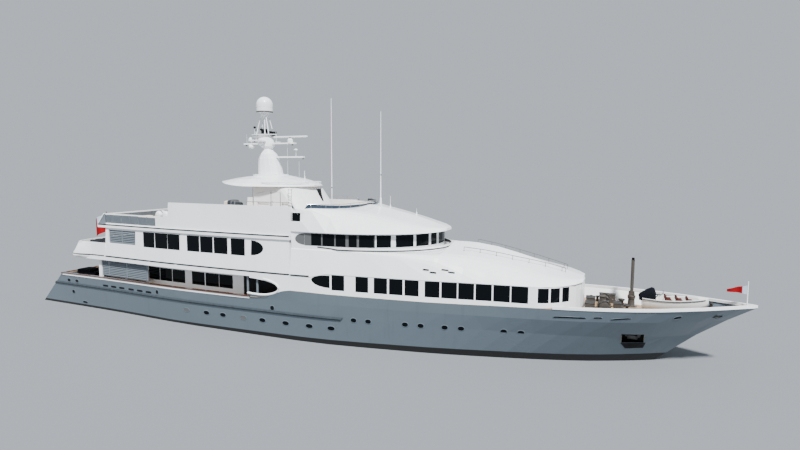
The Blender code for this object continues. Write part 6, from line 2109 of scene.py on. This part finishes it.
class YACHT_OT_openings_trim(bpy.types.Operator):
    """Sets dark panes into the walls, posts and rims in the side openings, and the moulding under the cap"""

    bl_idname = "yacht.openings_trim"
    bl_label = "Openings trim"

    def execute(self, context):
        posts = Piece("side_opening_posts", "louvre")
        for _, sign in SIDES:
            for x in EYE_POSTS:
                y = side_point("upper_deck_slab", x, 4.75, sign)[0].y
                posts.box((x - 0.07, x + 0.07), sorted((y - sign * 0.30, y - sign * 0.22)), EYE_POST_Z)
        posts.done()
        panes = Piece("flush_panes", "glass")
        for pane in PANES:
            add_pane(panes, *pane)
        for node, x, z, nose, lap in LAPPED_WINDOWS:
            for (aft, fwd), (low, high) in window_spans(node, x, z):
                add_band(panes, "glass", node, (aft - lap[0], fwd + lap[0]), (low - lap[1], high + lap[1]),
                         *nose, (-0.012, 0.005))
        panes.done()
        moulding = Piece("aft_cap_moulding", "white")
        for _, sign in SIDES:
            line = []
            for x in spaced(*MOULDING, 32):
                side = side_point("hull", x, 2.3, sign)[0].y
                under = ray("aft_cap_rail", (x, side - sign * 0.06, 0.5), UP)[0].z
                height = under - MOULDING_HEIGHT / 2
                line.append(Vector((x, side_point("hull", x, height, sign)[0].y + sign * 0.006, height)))
            moulding.strip(line, 0.03, MOULDING_HEIGHT)
        for _, sign in SIDES:
            rim = self.eye_rim(sign)
            moulding.use("white").pipe(rim, 0.085)
            rings = []
            for x, y, z in rim:
                if z < EYE_TIP[1]:
                    foot = side_point("hull", x, EYE_LOW, sign)[0]
                    inner = sign * 0.08
                    rings.append([(*foot,), (x, y, z), (x, y - inner, z), (foot.x, foot.y - inner, foot.z)])
            moulding.use("hull_trim").loft(rings)
        moulding.done()
        return {"FINISHED"}

    def eye_rim(self, sign):
        """Points just outside the lower and forward edge of a side opening."""
        places = list(EYE_START)
        for turn in spaced(*EYE_TURNS, 20):
            angle = math.radians(turn)
            depth = EYE_TIP[1] - EYE_LEVELS[0] if angle < 0 else EYE_LEVELS[1] - EYE_TIP[1]
            x = EYE_FAR + (EYE_TIP[0] - EYE_FAR) * math.cos(angle)
            places.append((x, EYE_TIP[1] + depth * math.sin(angle)))
        points = []
        for x, z in places:
            low, high = (side_point("hull", x, level, sign)[0].y for level in (EYE_SLOPE_FROM, EYE_LOW))
            slope = (high - low) / (EYE_LOW - EYE_SLOPE_FROM)
            points.append(Vector((x, high + slope * (z - EYE_LOW) * 0.5 + sign * 0.004, z)))
        return points


# Floor, light and camera

CAMERA_PLACE = (10.57, -19.465, 6.29)
CAMERA_YAW = math.radians(21.62)
CAMERA_PITCH = math.radians(5.68)
CAMERA_ROLL = math.radians(-0.24)
CAMERA_LENS = 23.99
FLOOR_REACH = 600.0
SKY = (0.55, 0.60, 0.66)

# Suns: name, tilt from overhead, turn about the vertical, strength, spread; angles in degrees
SUNS = (("key", 36, 38, 9.2, 6), ("fill", 62, -35, 0.5, 60))


class YACHT_OT_stage(bpy.types.Operator):
    """Makes the pale floor at the waterline, the soft light and the camera"""

    bl_idname = "yacht.stage"
    bl_label = "Floor, light and camera"

    def execute(self, context):
        mesh = bpy.data.meshes.new("floor")
        corners = [(x * FLOOR_REACH, y * FLOOR_REACH, 0.0) for x, y in CORNERS]
        mesh.from_pydata(corners, [], [(0, 1, 2, 3)])
        floor = bpy.data.objects.new("floor", mesh)
        surface = bpy.data.materials.new("floor")
        surface.use_nodes = True
        shader = surface.node_tree.nodes["Principled BSDF"]
        shader.inputs["Base Color"].default_value = (*self.floor_colour(), 1.0)
        shader.inputs["Roughness"].default_value = 0.8
        shader.inputs["Specular IOR Level"].default_value = 0.0
        mesh.materials.append(surface)
        context.scene.collection.objects.link(floor)
        world = bpy.data.worlds.new("soft sky")
        world.use_nodes = True
        sky = world.node_tree.nodes["Background"]
        sky.inputs["Color"].default_value = (*SKY, 1.0)
        sky.inputs["Strength"].default_value = 1.0
        context.scene.world = world
        for sun in SUNS:
            self.add_sun(*sun)
        context.scene.camera = self.add_camera()
        return {"FINISHED"}

    def floor_colour(self):
        """The colour that makes the lit floor as bright as the sky, so that no horizon shows."""
        suns = sum(strength * math.cos(math.radians(tilt)) for _, tilt, _, strength, _ in SUNS) / math.pi
        return [tone / (tone + suns) for tone in SKY]

    def add_sun(self, name, tilt, turn, strength, spread):
        lamp = bpy.data.lights.new(name, "SUN")
        lamp.energy = strength
        lamp.angle = math.radians(spread)
        obj = bpy.data.objects.new(name, lamp)
        obj.rotation_euler = (math.radians(tilt), 0, math.radians(turn))
        bpy.context.scene.collection.objects.link(obj)

    def add_camera(self):
        forward = Vector((-math.sin(CAMERA_YAW) * math.cos(CAMERA_PITCH),
                          math.cos(CAMERA_YAW) * math.cos(CAMERA_PITCH), -math.sin(CAMERA_PITCH)))
        right = Vector((math.cos(CAMERA_YAW), math.sin(CAMERA_YAW), 0))
        down = forward.cross(right)
        across = right * math.cos(CAMERA_ROLL) + down * math.sin(CAMERA_ROLL)
        under = down * math.cos(CAMERA_ROLL) - right * math.sin(CAMERA_ROLL)
        turn = Matrix((across, -under, -forward)).transposed().to_4x4()
        data = bpy.data.cameras.new("photo view")
        data.lens = CAMERA_LENS
        data.clip_end = 2000
        camera = bpy.data.objects.new("photo view", data)
        camera.matrix_world = Matrix.Translation(CAMERA_PLACE) @ turn
        bpy.context.scene.collection.objects.link(camera)
        return camera


# Add-on parts


OPERATORS = (
    YACHT_OT_finishes,
    YACHT_OT_hull_fittings,
    YACHT_OT_anchors,
    YACHT_OT_louvres,
    YACHT_OT_bridge_screen,
    YACHT_OT_deck_lines,
    YACHT_OT_openings_trim,
    YACHT_OT_wheelhouse_trim,
    YACHT_OT_stern_fairing,
    YACHT_OT_mast_gear,
    YACHT_OT_antennas,
    YACHT_OT_hardtop_fittings,
    YACHT_OT_sundeck_house_fittings,
    YACHT_OT_upper_rails,
    YACHT_OT_liferafts,
    YACHT_OT_coachroof_fittings,
    YACHT_OT_windlasses,
    YACHT_OT_foredeck_gear,
    YACHT_OT_crane,
    YACHT_OT_tender,
    YACHT_OT_aft_deck_furniture,
    YACHT_OT_upper_furniture,
    YACHT_OT_flags,
    YACHT_OT_stage,
)


class YACHT_PT_looks(bpy.types.Panel):
    """Lists the yacht's pieces, colours and sizes"""

    bl_idname = "YACHT_PT_looks"
    bl_label = "Motor Yacht"
    bl_space_type = "VIEW_3D"
    bl_region_type = "UI"
    bl_category = "Motor Yacht"

    def draw(self, context):
        column = self.layout.column()
        for operator in OPERATORS:
            column.operator(operator.bl_idname)
        for group in (context.scene.yacht_colours, context.scene.yacht_sizes):
            for name in group.bl_rna.properties.keys():
                if name not in ("rna_type", "name"):
                    column.prop(group, name)


CLASSES = (YachtColours, YachtSizes, *OPERATORS, YACHT_PT_looks)


def register():
    for cls in CLASSES:
        bpy.utils.register_class(cls)
    bpy.types.Scene.yacht_colours = PointerProperty(type=YachtColours)
    bpy.types.Scene.yacht_sizes = PointerProperty(type=YachtSizes)


def unregister():
    del bpy.types.Scene.yacht_colours
    del bpy.types.Scene.yacht_sizes
    for cls in reversed(CLASSES):
        bpy.utils.unregister_class(cls)


def main():
    register()
    for operator in OPERATORS:
        group, name = operator.bl_idname.split(".")
        getattr(getattr(bpy.ops, group), name)()


if __name__ == "__main__":
    main()
